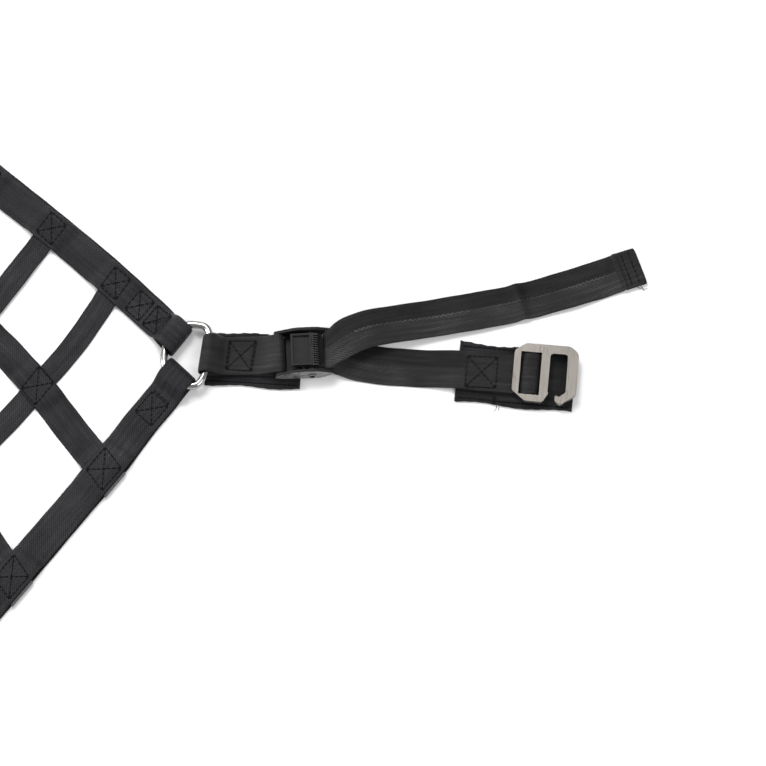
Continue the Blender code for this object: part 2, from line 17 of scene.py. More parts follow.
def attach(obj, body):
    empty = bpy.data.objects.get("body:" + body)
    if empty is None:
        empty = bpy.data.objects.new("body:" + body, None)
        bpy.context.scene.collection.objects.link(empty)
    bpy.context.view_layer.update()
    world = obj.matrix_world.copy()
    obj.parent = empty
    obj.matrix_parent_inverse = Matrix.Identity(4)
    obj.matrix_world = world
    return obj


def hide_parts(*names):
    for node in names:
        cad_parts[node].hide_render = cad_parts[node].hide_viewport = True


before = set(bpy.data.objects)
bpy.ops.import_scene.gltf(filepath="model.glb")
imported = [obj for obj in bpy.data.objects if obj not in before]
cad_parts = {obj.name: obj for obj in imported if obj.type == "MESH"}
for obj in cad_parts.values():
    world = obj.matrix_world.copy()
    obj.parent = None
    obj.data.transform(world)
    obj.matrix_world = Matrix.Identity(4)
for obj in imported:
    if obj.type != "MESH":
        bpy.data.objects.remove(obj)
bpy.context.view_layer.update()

MM = 0.001
GAP = 0.3
NET = "net"
UP = Vector((0.0, 0.0, 1.0))

# The net's own sizes
NET_THICKNESS = 1.2
BORDER_WIDTH = 21.0
LONG_WIDTH = 20.0
CROSS_WIDTH = 15.0
FIRST_CROSS = 70.0
CROSS_PITCH = 55.0
CROSS_AT = [FIRST_CROSS + CROSS_PITCH * i for i in range(7)]
FIRST_LONG = 92.5
LONG_PITCH = 89.0
LONG_AT = [FIRST_LONG + LONG_PITCH * i for i in range(4)]
LONG_SIDE = CROSS_AT[0] + CROSS_AT[-1]
CROSS_SIDE = LONG_AT[0] + LONG_AT[-1]
LONG_HEADING = math.radians(136.4)
CROSS_HEADING = math.radians(231.7)
CROSS_SLACK = 2.2
LONG_SLACK = 0.8
END_INSET = 1.5
END_SHOWING = 1.8
CROSS_SWINGS = (5.0, 4.0, 3.0, -2.0, -4.0, -3.0, -4.0)
LONG_SWINGS = (13.7, 18.0, 12.0, 7.0)
CROSS_CREASES = (1.1, -1.1, 0.7, 0.4, -0.8, 0.5, 0.8)
LONG_CREASES = (1.1, 0.8, -0.8, 0.5)
# A border's sag: its size, and where it starts and how far it takes to grow at each end
LONG_SAG = (5.0, 80.0, 120.0)
CROSS_SAG = (2.0, 50.0, 40.0)
FOLD_DISTANCE = 12.0
# How far the folds round a ring turn from square, in degrees, at a corner's two borders
FOLD_TURNS = (7.0, -6.0)
LOOP_TOP = 9.3
LOOP_FULL = 23.0
LOOP_DOWN = 32.0
NET_LOW = NET_THICKNESS / 2
NET_HIGH = NET_LOW + NET_THICKNESS + GAP
NET_TOP = NET_HIGH + NET_THICKNESS + GAP
# How far from a strap's middle a border's upper layer stays lifted over it
CROSS_ZONE = CROSS_WIDTH / 2 + 2.0
LONG_ZONE = LONG_WIDTH / 2 + 3.5

# Half sizes of the net's sewn boxes, and where the boxes that close the border's loops lie
CROSSING_BOX = (7.1, 9.2)
CROSS_END_BOX = (6.6, 8.0)
LONG_END_BOX = (8.4, 9.3)
LONG_LOOP_BOX = (6.0, 7.9)
LONG_LOOPS_AT = (34.2, 49.2)
CROSS_LOOP_BOX = (7.0, 8.4)
CROSS_LOOP_AT = 43.7
CROSS_LOOP_ROW = 34.0

# The corner pieces' own sizes
RING_WIRE = 4.8
RING_CENTRE = -4.7
RING_NET_REACH = 15.0
RING_BAR_REACH = 12.7
RING_HALF_HEIGHT = 20.2
RING_LEAN = math.radians(-8.0)
RING_NET_Z = 4.1
RING_PLAY = 1.5
STRAP_WIDTH = 25.0
STRAP_THICKNESS = 1.4
PAD_THICKNESS = 1.6
HEM_LENGTH = 12.0
SCALLOP_PITCH = 3.0
STITCH_LENGTH = 3.0
THREAD_RADIUS = 0.4
SEWN_FROM = 19.0
SEWN_TO = 38.0
BUCKLE_SPOT = 51.5
BUCKLE_TURN = math.radians(2.5)
BAR_RADIUS = 2.0
LOOP_BAR_Z = 5.6
END_BAR_X = 31.0
END_BAR_Z = 8.0
HOOK_SPOT = (196.5, -12.0)
HOOK_TURN = math.radians(-5.0)
LOWER_Z = PAD_THICKNESS + GAP + STRAP_THICKNESS / 2
UPPER_Z = LOWER_Z + STRAP_THICKNESS + GAP
RING_TURN = RING_WIRE / 2 + RING_PLAY + STRAP_THICKNESS / 2
RING_BAR_Z = LOWER_Z + RING_TURN

# The buckle's and the hook's own sizes, each in its own frame
BUCKLE_INSIDE = 26.0
CHEEK = 1.8
PIVOT = (20.0, 6.5)
PIN_RADIUS = 2.0
LEVER_WIDTH = 21.0
FRAME_Z = PAD_THICKNESS + GAP
HOOK_Z = UPPER_Z + STRAP_THICKNESS / 2 + GAP
HOOK_THICKNESS = 3.0
SLOT_HALF = 14.0
SLOT_LEFT = 4.2
SLIDER_LEFT = 9.0
SLIDER_RIGHT = 13.0
SLOT_RIGHT = 17.0
SLIDER_THICKNESS = 2.0

LONG_WAY = Vector((math.cos(LONG_HEADING), math.sin(LONG_HEADING), 0.0))
CROSS_WAY = Vector((math.cos(CROSS_HEADING), math.sin(CROSS_HEADING), 0.0))
FIRST_CORNER = -(LONG_WAY * LONG_SIDE + CROSS_WAY * CROSS_SIDE) / 2

# The picture: where its middle falls on the floor, its scale and the camera's height angle
PICTURE_MIDDLE = FIRST_CORNER + Vector((116.0, -16.5, 0.0))
PICTURE_SIDE = 475.0
CAMERA_ELEVATION = math.radians(70.0)
CAMERA_DISTANCE = 3600.0


# Small sums


def eased(part):
    """0 to 1 with a soft start and a soft end."""
    part = min(max(part, 0.0), 1.0)
    return part * part * (3.0 - 2.0 * part)


def blended(first, second, part):
    return first + (second - first) * part


def arc(centre, radius, start, end, steps):
    """Points on a round stretch, by angles in degrees."""
    angles = [math.radians(blended(start, end, i / steps)) for i in range(steps + 1)]
    return [(centre[0] + radius * math.cos(a), centre[1] + radius * math.sin(a)) for a in angles]


def curve_through(rows, steps):
    """Rows of numbers, with `steps` rows for each span, on a smooth curve through them all."""
    found = []
    last = len(rows) - 1
    for i in range(last):
        before = rows[max(i - 1, 0)]
        after = rows[min(i + 2, last)]
        for j in range(steps):
            t = j / steps
            row = []
            for a, b, c, d in zip(before, rows[i], rows[i + 1], after):
                swing = 2 * a - 5 * b + 4 * c - d
                lift = 3 * b - a - 3 * c + d
                row.append(b + 0.5 * t * (c - a + t * (swing + t * lift)))
            found.append(tuple(row))
    found.append(tuple(rows[last]))
    return found


def leaning(angle):
    """The way across a strap whose own line is turned by this angle."""
    return Vector((-math.sin(angle), math.cos(angle), 0.0))


def crossing_height(distance, marks, half_zone, low, high, run=5.5):
    """low between the marks and high over each, with an even rise before and after it."""
    nearest = min(abs(distance - mark) for mark in marks)
    return blended(high, low, eased((nearest - half_zone) / run))


def slack(distance, marks, size, phase):
    """How far a strap wanders sideways between its crossings, never at a crossing."""
    for i in range(len(marks) - 1):
        low, high = marks[i], marks[i + 1]
        if low <= distance <= high:
            part = (distance - low) / (high - low)
            share = math.sin(1.9 * phase + 2.6 * i + 1.2)
            return size * share * math.sin(math.pi * eased(part))
    return 0.0


# Meshes


def placed(name, data):
    """A new object in the scene's own collection."""
    piece = bpy.data.objects.new(name, data)
    bpy.context.scene.collection.objects.link(piece)
    return piece


def linked(maker, name, smooth=True):
    """The bmesh as a linked object, with its faces turned out."""
    bmesh.ops.recalc_face_normals(maker, faces=maker.faces)
    mesh = bpy.data.meshes.new(name)
    maker.to_mesh(mesh)
    maker.free()
    if smooth:
        mesh.shade_smooth()
    return placed(name, mesh)


def skin(maker, rings, closed=False):
    """Faces between rings of points in mm: round to the first again, or with flat ends."""
    made = [[maker.verts.new(Vector(spot) * MM) for spot in ring] for ring in rings]
    for this, following in zip(made, made[1:] + (made[:1] if closed else [])):
        for j in range(len(this)):
            k = (j + 1) % len(this)
            maker.faces.new((this[j], this[k], following[k], following[j]))
    if not closed:
        maker.faces.new(made[0])
        maker.faces.new(made[-1])


def hoop(middle, along, radius, sides, turned=0.0):
    """Points round a line, square to it."""
    aside = along.cross(UP).normalized()
    up = aside.cross(along)
    turns = [math.tau * (j + turned) / sides for j in range(sides)]
    return [middle + (aside * math.cos(a) + up * math.sin(a)) * radius for a in turns]


def cells(grid):
    """The four corners of each cell between rows, whose last column meets the first again."""
    this, following = grid[:-1], grid[1:]
    return np.stack([this, np.roll(this, -1, 1), np.roll(following, -1, 1), following], axis=2)


def strip(name, stations, width, thickness, closed=False, relief=None, shift=None, lanes=12):
    """A strip of webbing with round edges, as fine as its stations.

    Each station is its middle point and the way across it. relief(u, v) lifts the surface at u mm
    along and v from -1 to 1 across; shift(u) widens or moves the edges, as (low, high) in mm. The
    UV map called web holds the distances along and across, in metres.
    """
    middles = np.array([tuple(middle) for middle, _ in stations])
    across = np.array([tuple(way.normalized()) for _, way in stations])
    if closed:
        along = np.roll(middles, -1, 0) - np.roll(middles, 1, 0)
    else:
        along = np.gradient(middles, axis=0)
    along /= np.linalg.norm(along, axis=1)[:, None]
    up = np.cross(along, across)
    up /= np.linalg.norm(up, axis=1)[:, None]
    steps = np.linalg.norm(np.diff(middles, axis=0), axis=1)
    reach = np.concatenate([[0.0], np.cumsum(steps)])
    # the upper face from one edge to the other, then the lower face back
    spread = -np.cos(np.pi * np.arange(lanes + 1) / lanes)
    spread = np.sign(spread) * np.abs(spread) ** 1.15
    v = spread[list(range(lanes + 1)) + list(range(lanes - 1, 0, -1))]
    side = np.array([1.0] * (lanes + 1) + [-1.0] * (lanes - 1))
    half = side * thickness / 2 * np.sqrt(1.0 - np.abs(v) ** 7)
    edges = np.array([shift(u) if shift else (0.0, 0.0) for u in reach])
    points = np.empty((len(reach), len(v), 3))
    places = np.empty((len(reach), len(v)))
    for k, value in enumerate(v):
        away = value * width / 2 + blended(edges[:, 0], edges[:, 1], (value + 1.0) / 2)
        lift = half[k] + np.array([relief(u, value) if relief else 0.0 for u in reach])
        points[:, k] = middles + across * away[:, None] + up * lift[:, None]
        places[:, k] = away
    index = np.arange(places.size).reshape(places.shape)
    if closed:
        reach = np.append(reach, reach[-1] + np.linalg.norm(middles[0] - middles[-1]))
        places = np.vstack([places, places[:1]])
        index = np.vstack([index, index[:1]])
    web_map = np.stack([np.broadcast_to(reach[:, None], places.shape), places], -1) * MM
    faces = [tuple(quad) for quad in cells(index).reshape(-1, 4)]
    uv = cells(web_map).reshape(-1, 2)
    if not closed:
        faces += [tuple(index[0]), tuple(index[-1][::-1])]
        uv = np.concatenate([uv, web_map[0], web_map[-1][::-1]])
    mesh = bpy.data.meshes.new(name)
    mesh.from_pydata((points.reshape(-1, 3) * MM).tolist(), [], faces)
    layer = mesh.uv_layers.new(name="web")
    layer.data.foreach_set("uv", uv.astype(np.float32).ravel())
    maker = bmesh.new()
    maker.from_mesh(mesh)
    bpy.data.meshes.remove(mesh)
    return linked(maker, name)


# Materials


def shader_of(name, colour, roughness, metallic=0.0):
    made = bpy.data.materials.new(name)
    made.use_nodes = True
    tree = made.node_tree
    shader = tree.nodes["Principled BSDF"]
    shader.inputs["Base Color"].default_value = (*colour, 1.0)
    shader.inputs["Roughness"].default_value = roughness
    shader.inputs["Metallic"].default_value = metallic
    return made, tree, shader


def maths(tree, operation, first, second=None):
    """One Math node; its inputs are sockets or numbers."""
    step = tree.nodes.new("ShaderNodeMath")
    step.operation = operation
    for socket, value in zip(step.inputs, (first, second)):
        if value is None:
            continue
        if isinstance(value, (int, float)):
            socket.default_value = value
        else:
            tree.links.new(value, socket)
    return step.outputs[0]


def times(tree, first, *others):
    for other in others:
        first = maths(tree, "MULTIPLY", first, other)
    return first


def plus(tree, first, *others):
    for other in others:
        first = maths(tree, "ADD", first, other)
    return first


def arches(tree, turn):
    """A row of round arches, one for each half turn."""
    return maths(tree, "ABSOLUTE", maths(tree, "SINE", turn))


def noise(tree, scale, detail=2.0, stretch=(1.0, 1.0, 1.0), vector=None):
    """A noise of so many grains to the metre, drawn out by the stretch."""
    if vector is None:
        vector = tree.nodes.new("ShaderNodeTexCoord").outputs["Object"]
    place = tree.nodes.new("ShaderNodeMapping")
    place.inputs["Scale"].default_value = stretch
    tree.links.new(vector, place.inputs["Vector"])
    grain = tree.nodes.new("ShaderNodeTexNoise")
    grain.inputs["Scale"].default_value = scale
    grain.inputs["Detail"].default_value = detail
    tree.links.new(place.outputs[0], grain.inputs["Vector"])
    return grain.outputs["Fac"]


def ramp(tree, factor, low, high, low_colour, high_colour, last=None):
    """Colours between two places of the factor; last is the colour at 1."""
    step = tree.nodes.new("ShaderNodeValToRGB")
    if last:
        step.color_ramp.elements.new(0.5)
        step.color_ramp.elements[2].position = 1.0
        step.color_ramp.elements[2].color = (*last, 1.0)
    step.color_ramp.elements[0].position = low
    step.color_ramp.elements[0].color = (*low_colour, 1.0)
    step.color_ramp.elements[1].position = high
    step.color_ramp.elements[1].color = (*high_colour, 1.0)
    tree.links.new(factor, step.inputs[0])
    return step.outputs[0]


def bumped(tree, shader, height, distance):
    bump = tree.nodes.new("ShaderNodeBump")
    bump.inputs["Distance"].default_value = distance
    tree.links.new(height, bump.inputs["Height"])
    tree.links.new(bump.outputs[0], shader.inputs["Normal"])


def webbing_look(name, dark, light, rib_pitch=0.00095, yarn_pitch=0.0008, depth=0.00016,
                 cut_end_glint=0.0, halves=None):
    """Woven polyester: rounded warp yarns crossed by weft ribs, a half step apart in each row.

    It has a painted highlight on its cut end: up to the distance cut_end_glint from its start it is
    lighter, towards a pale grey, for the glint there. Between the first and the last distance of
    halves, one half of its width is darker, and up to the middle distance a scalloped line with a
    painted highlight, for the light caught along that edge, divides it.
    """
    made, tree, shader = shader_of(name, light, 0.37)
    uv = tree.nodes.new("ShaderNodeUVMap")
    uv.uv_map = "web"
    parts = tree.nodes.new("ShaderNodeSeparateXYZ")
    tree.links.new(uv.outputs[0], parts.inputs[0])
    along, across = parts.outputs[0], parts.outputs[1]
    column = maths(tree, "DIVIDE", across, yarn_pitch)
    row = maths(tree, "ABSOLUTE", maths(tree, "FLOOR", column))
    offset = times(tree, maths(tree, "MODULO", row, 2.0), 0.5)
    knuckle = plus(tree, maths(tree, "DIVIDE", along, 2.0 * rib_pitch), offset)
    rib = maths(tree, "POWER", arches(tree, times(tree, knuckle, math.pi)), 0.5)
    yarn = maths(tree, "POWER", arches(tree, times(tree, column, math.pi)), 0.6)
    weave = times(tree, yarn, rib)
    fluff = times(tree, noise(tree, 2600.0, 3.0), 0.35)
    waves = times(tree, noise(tree, 45.0), 6.0)
    bumped(tree, shader, plus(tree, weave, fluff, waves), depth)
    patch = noise(tree, 34.0, 3.0)
    streak = noise(tree, 500.0, 2.0, (0.05, 1.0, 1.0), uv.outputs[0])
    speckle = noise(tree, 1100.0)
    tone = plus(tree, times(tree, patch, 0.4), times(tree, streak, 0.4), times(tree, speckle, 0.2))
    tone = times(tree, tone, plus(tree, times(tree, weave, 0.7), 0.5))
    if halves:
        scallop = arches(tree, times(tree, along, math.pi / (SCALLOP_PITCH * MM)))
        aside = maths(tree, "SUBTRACT", across, plus(tree, times(tree, scallop, 0.0009), 0.0002))
        upper = maths(tree, "GREATER_THAN", aside, 0.0)
        line = maths(tree, "LESS_THAN", maths(tree, "ABSOLUTE", aside), 0.00032)
        # painted highlight along the scalloped line, for the light caught by its stepped edge
        scallop_highlight = times(tree, line, maths(tree, "LESS_THAN", along, halves[1]), patch, speckle)
        within = maths(tree, "GREATER_THAN", along, halves[0])
        within = times(tree, within, maths(tree, "LESS_THAN", along, halves[2]))
        change = plus(tree, times(tree, upper, -0.15), 0.07, scallop_highlight)
        tone = plus(tree, tone, times(tree, within, change))
    # painted highlight: the first stretch of the strip, its cut end, is lightened towards the pale grey
    # for the glint on it
    if cut_end_glint:
        tone = plus(tree, tone, times(tree, maths(tree, "LESS_THAN", along, cut_end_glint), 0.5))
    # the pale grey at 1 is reached mostly by the painted highlights, on the cut ends and along the
    # tail's scalloped line
    colour = ramp(tree, tone, 0.3, 0.66, dark, light, (0.15, 0.15, 0.155))
    tree.links.new(colour, shader.inputs["Base Color"])
    shader.inputs["Sheen Weight"].default_value = 0.04
    shader.inputs["Sheen Roughness"].default_value = 0.4
    shader.inputs["Specular IOR Level"].default_value = 0.13
    return made


def thread_look(name, colour):
    made, tree, shader = shader_of(name, colour, 0.6)
    bumped(tree, shader, noise(tree, 2400.0, 1.0, (1.0, 1.0, 3.0)), 0.0001)
    shader.inputs["Specular IOR Level"].default_value = 0.1
    return made


def metal_look(name, dark, light, roughness, stretch, depth, scale=900.0):
    """Plated steel with fine drawn lines, and a little tone from place to place."""
    made, tree, shader = shader_of(name, light, roughness, 1.0)
    lines = noise(tree, scale, 4.0, stretch)
    tone = plus(tree, times(tree, lines, 0.65), times(tree, noise(tree, 45.0), 0.35))
    tree.links.new(ramp(tree, tone, 0.35, 0.66, dark, light), shader.inputs["Base Color"])
    gloss = ramp(tree, lines, 0.3, 0.7, (roughness - 0.06,) * 3, (roughness + 0.1,) * 3)
    tree.links.new(gloss, shader.inputs["Roughness"])
    bumped(tree, shader, lines, depth)
    return made


def coated_look(name, colour, roughness, gloss_level):
    """Coated die-cast metal with a faint orange-peel grain."""
    made, tree, shader = shader_of(name, colour, roughness)
    bumped(tree, shader, noise(tree, 1500.0), 0.00006)
    worn = noise(tree, 260.0, 3.0)
    gloss = ramp(tree, worn, 0.35, 0.7, (roughness - 0.05,) * 3, (roughness + 0.07,) * 3)
    tree.links.new(gloss, shader.inputs["Roughness"])
    dark, light = ([share * part for part in colour] for share in (0.7, 1.3))
    tree.links.new(ramp(tree, worn, 0.4, 0.7, dark, light), shader.inputs["Base Color"])
    shader.inputs["Specular IOR Level"].default_value = gloss_level
    return made


# the net's webbing has a painted highlight on its cut ends
WEBBING = webbing_look("net_webbing", (0.004, 0.0038, 0.0045), (0.034, 0.0327, 0.0373), cut_end_glint=0.0016)
STRAP_WEB = webbing_look("strap_webbing", (0.0035, 0.0035, 0.0038), (0.031, 0.031, 0.032))
TAIL_WEB = webbing_look("tail_webbing", (0.003, 0.003, 0.0032), (0.0295, 0.0295, 0.0302),
                        halves=(0.03, 0.2, 0.315))
PAD_WEB = webbing_look("pad_webbing", (0.002, 0.002, 0.0023), (0.022, 0.0212, 0.024), 0.0007, 0.0006)
THREAD = thread_look("black_thread", (0.0025, 0.0025, 0.003))
BRUSHED = metal_look("brushed_nickel", (0.175, 0.163, 0.148), (0.235, 0.219, 0.199), 0.32,
                     (1.0, 0.06, 1.0), 0.00003)
BRIGHT = metal_look("bright_nickel", (0.3, 0.297, 0.29), (0.42, 0.415, 0.405), 0.17,
                    (1.0, 1.0, 1.0), 0.00001, 300.0)
MATT = coated_look("matt_black_coating", (0.012, 0.012, 0.0125), 0.5, 0.16)
# painted reflection: a grey coating that stands for the pale floor mirrored in the black coating
FLOOR_REFLECTION = coated_look("floor_reflection_coating", (0.15, 0.15, 0.152), 0.3, 0.5)
RUBBED = coated_look("rubbed_coating", (0.032, 0.032, 0.033), 0.42, 0.26)


def finish_piece(piece, look, body=NET, nodes=()):
    """Gives a new piece its material and its body, and hides the CAD nodes it stands for."""
    piece.data.materials.clear()
    piece.data.materials.append(look)
    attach(piece, body)
    if nodes:
        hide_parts(*nodes)
    return piece


# Sheets of webbing and sewn thread


def spaced(start, end, step):
    count = max(2, round(abs(end - start) / step))
    return [blended(start, end, i / count) for i in range(count + 1)]


def sew(stitches, start, end):
    """Adds the stitches of one straight seam between two points on the surface."""
    line = end - start
    count = max(1, round(line.length / STITCH_LENGTH))
    for i in range(count):
        stitches.append((start + line * (i + 0.07) / count, start + line * (i + 0.93) / count))


def sew_box(stitches, corners):
    """A sewn box through its four corners, with both diagonals."""
    for i, j in ((0, 1), (1, 2), (2, 3), (3, 0), (0, 2), (1, 3)):
        sew(stitches, corners[i], corners[j])


def thread_piece(name, stitches, height=None, sides=5):
    """One mesh of short threads that bow up between their holes; height(x, y) can set their z."""
    shares = (0.0, 0.13, 0.5, 0.87, 1.0)
    bows = (-0.12, 0.08, 0.16, 0.08, -0.12)
    radii = [THREAD_RADIUS * share for share in (0.4, 0.9, 1.0, 0.9, 0.4)]
    points = []
    faces = []
    for start, end in stitches:
        along = (end - start).normalized()
        aside = along.cross(UP).normalized()
        up = aside.cross(along)
        first = len(points)
        for share, bow, radius in zip(shares, bows, radii):
            middle = blended(start, end, share)
            if height:
                middle = Vector((middle.x, middle.y, height(middle.x, middle.y)))
            for j in range(sides):
                angle = math.tau * j / sides
                spot = middle + up * (bow + radius * 0.8 * math.sin(angle))
                points.append((spot + aside * radius * math.cos(angle)) * MM)
        for i in range(len(shares) - 1):
            for j in range(sides):
                k = (j + 1) % sides
                low = first + i * sides
                faces.append((low + j, low + k, low + sides + k, low + sides + j))
        last = first + (len(shares) - 1) * sides
        faces.append(tuple(first + j for j in reversed(range(sides))))
        faces.append(tuple(last + j for j in range(sides)))
    mesh = bpy.data.meshes.new(name)
    mesh.from_pydata([tuple(point) for point in points], [], faces)
    mesh.shade_smooth()
    return placed(name, mesh)


# The net


def on_net(along, across, height=0.0):
    return FIRST_CORNER + LONG_WAY * along + CROSS_WAY * across + UP * height


def crease(marks, half_zone, size, phase):
    """A soft lengthwise ridge, or a valley for a size below 0, that dies out before each mark."""
    def relief(u, v):
        near = min(abs(u - mark) for mark in marks)
        free = eased((near - half_zone - 2.0) / 14.0)
        wander = 0.22 * math.sin(0.05 * u + phase)
        ridge = math.exp(-(((v - wander) / 0.3) ** 2))
        return free * (size * ridge if size > 0 else -size * (1.0 - ridge))
    return relief


def wandering(size, phase):
    """Edges that aren't quite straight."""
    def shift(u):
        return (
            size * math.sin(0.083 * u + phase) + 0.4 * size * math.sin(0.31 * u + 2.0 * phase),
            size * math.sin(0.071 * u + 2.3 * phase) + 0.4 * size * math.sin(0.27 * u + phase),
        )
    return shift


def swing(distance, length, size):
    """A strap's wide S: off to one side in its first half and to the other in its second."""
    return size * math.sin(math.tau * distance / length)


def sag(distance, length, facts):
    """How far a border lies off its line, between the stretches near its ends."""
    size, start, run = facts
    return size * eased((min(distance, length - distance) - start) / run)


def crossing(cross, long):
    """Where two inner straps cross, as distances along and across the net."""
    along, across = CROSS_AT[cross], LONG_AT[long]
    for _ in range(4):
        across = LONG_AT[long] - swing(along, LONG_SIDE, LONG_SWINGS[long])
        along = CROSS_AT[cross] - swing(across, CROSS_SIDE, CROSS_SWINGS[cross])
    return along, across


def inner_strap(name, node, ways, width, line, ends, crossings, raised, size, folds, phase):
    """A strap across the net; line is its place, length and swing, folds its end and crease."""
    way, other = ways
    side, length, swings = line
    shown, ridge = folds
    zone = BORDER_WIDTH / 2 + 0.5
    first = ends[0] - BORDER_WIDTH / 2 - shown
    last = ends[1] + BORDER_WIDTH / 2 + END_SHOWING
    flat = UP.cross(way)
    fixed = [ends[0], *crossings, ends[1]]
    raised = [ends[0], *raised, ends[1]]
    spots = []
    for distance in spaced(first, last, 2.0):
        middle = FIRST_CORNER + way * distance + flat * slack(distance, fixed, size, phase)
        middle += other * (side - swing(distance, length, swings))
        spots.append(middle + UP * crossing_height(distance, raised, zone, NET_LOW, NET_HIGH))
    # the ends are cut along the borders
    border_line = other * math.copysign(1.0, flat.dot(other))
    stations = []
    for i, middle in enumerate(spots):
        along = spots[min(i + 1, len(spots) - 1)] - spots[max(i - 1, 0)]
        near = 2.0 * min(i, len(spots) - 1 - i)
        across = UP.cross(along).normalized()
        stations.append((middle, blended(border_line, across, eased((near - 8.0) / 14.0))))
    fold = crease([mark - first for mark in fixed], zone, ridge, 1.7 * phase + 0.4)
    piece = strip(name, stations, width, NET_THICKNESS, relief=fold, shift=wandering(0.16, phase + 0.3))
    finish_piece(piece, WEBBING, nodes=(node,))


def upper_height(distance, length, marks, zone):
    """The middle of a border's upper layer: over the straps' ends, and up round the rings."""
    near = min(distance, length - distance)
    loop = 1.0 - eased((near - LOOP_FULL) / (LOOP_DOWN - LOOP_FULL))
    sewn = crossing_height(distance, marks, zone, NET_HIGH, NET_TOP)
    return blended(sewn, LOOP_TOP, loop)


def border(name, node, corner, way, length, marks, zone, facts):
    """A doubled border; facts are its sag, its lower layer's offset and its folds' two turns.

    The lower layer lies a little to the side of the upper one. Each fold follows the ring's wire,
    so it is turned from square by its own angle, in degrees.
    """
    sagging, under, turns = facts
    flat = UP.cross(way)
    turn_radius = (LOOP_TOP - NET_LOW) / 2
    start, end = FOLD_DISTANCE + turn_radius, length - FOLD_DISTANCE - turn_radius
    path = [(distance, NET_LOW) for distance in spaced(end, start, 2.5)]
    path += arc((start, NET_LOW + turn_radius), turn_radius, 257.0, 103.0, 14)
    path += [(s, upper_height(s, length, marks, zone)) for s in spaced(start, end, 1.6)]
    path += arc((end, NET_LOW + turn_radius), turn_radius, 77.0, -77.0, 14)
    stations = []
    for distance, z in path:
        first = turns[0] * (1.0 - eased((distance - FOLD_DISTANCE) / 24.0))
        last = turns[1] * (1.0 - eased((length - FOLD_DISTANCE - distance) / 24.0))
        across = Matrix.Rotation(math.radians(first + last), 3, "Z") @ flat
        aside = flat * sag(distance, length, sagging)
        stations.append((corner + way * distance + aside + UP * z, across))
    lower = end - start
    edges = wandering(0.14, under)

    def shift(u):
        share = eased(u / 20.0) * eased((lower - u) / 20.0)
        low, high = edges(u)
        return low + under * share, high + under * share

    piece = strip(name, stations, BORDER_WIDTH, NET_THICKNESS, closed=True, shift=shift)
    finish_piece(piece, WEBBING, nodes=(node,))


def net_box(stitches, centre, ways, halves, height):
    """A crossed box round a point of the net, along two ways; height is a number or a function."""
    corners = []
    for i, j in ((-1, -1), (1, -1), (1, 1), (-1, 1)):
        spot = centre + ways[0] * i * halves[0] + ways[1] * j * halves[1]
        spot.z = height(spot) if callable(height) else height
        corners.append(spot)
    sew_box(stitches, corners)


def bent_way(way, other, distance, length, size):
    """The direction of an inner strap's middle line at this distance along it."""
    slope = swing(distance + 1.0, length, size) - swing(distance - 1.0, length, size)
    return (way * 2.0 - other * slope).normalized()


def edge_seam_and_shade(stitches, corner, way, outer, length, sagging):
    """The fine seam that runs along a border's outer edge, on its lower layer; its dark thread also
    stands as painted shade for the gap between the two layers.
    """
    spots = []
    for distance in spaced(LOOP_DOWN + 4.0, length - LOOP_DOWN - 4.0, 6.0):
        aside = outer * (BORDER_WIDTH / 2 + 0.1) + sag(distance, length, sagging)
        spot = corner + way * distance + UP.cross(way) * aside
        spots.append(spot + UP * (NET_THICKNESS + 0.15))
    for start, end in zip(spots, spots[1:]):
        sew(stitches, start, end)


def make_straps():
    for i, side in enumerate(CROSS_AT):
        met = sag(side, LONG_SIDE, LONG_SAG)
        inner_strap(f"webbing_cross_{i + 1}", f"cross_strap_{i + 1}", (CROSS_WAY, LONG_WAY),
                    CROSS_WIDTH, (side, CROSS_SIDE, CROSS_SWINGS[i]), (met, CROSS_SIDE - met),
                    LONG_AT, (), CROSS_SLACK, (-END_INSET, CROSS_CREASES[i]), i)
    for i, side in enumerate(LONG_AT):
        met = sag(side, CROSS_SIDE, CROSS_SAG)
        crossed = [crossing(j, i)[0] for j in range(len(CROSS_AT))]
        inner_strap(f"webbing_long_{i + 1}", f"long_strap_{i + 1}", (LONG_WAY, CROSS_WAY),
                    LONG_WIDTH, (side, LONG_SIDE, LONG_SWINGS[i]), (-met, LONG_SIDE + met),
                    crossed, crossed, LONG_SLACK, (END_SHOWING, LONG_CREASES[i]), i)


def make_borders(stitches):
    """The four borders, with the dark seam along the outer edge of each, partly painted shade for the
    gap between the layers.
    """
    sorts = (
        (LONG_WAY, LONG_SIDE, CROSS_AT, CROSS_ZONE, LONG_SAG),
        (CROSS_WAY, CROSS_SIDE, LONG_AT, LONG_ZONE, CROSS_SAG),
    )
    # each border's name, corner, sort, side it sags to, lower layer's offset, outer side and turns
    for name, corner, sort, side, under, outer, turns in (
        ("upper", on_net(0, 0), 0, 1, -1.9, -1, FOLD_TURNS),
        ("lower", on_net(0, 0), 1, 1, 0.7, 1, FOLD_TURNS[::-1]),
        ("rear", on_net(0, CROSS_SIDE), 0, -1, 1.6, 1, FOLD_TURNS[::-1]),
        ("side", on_net(LONG_SIDE, 0), 1, -1, -0.9, -1, FOLD_TURNS),
    ):
        way, length, marks, zone, (size, start, run) = sorts[sort]
        sagging = (side * size, start, run)
        border(f"webbing_{name}", f"border_{name}", corner, way, length, marks, zone,
               (sagging, under, turns))
        edge_seam_and_shade(stitches, corner, way, outer, length, sagging)


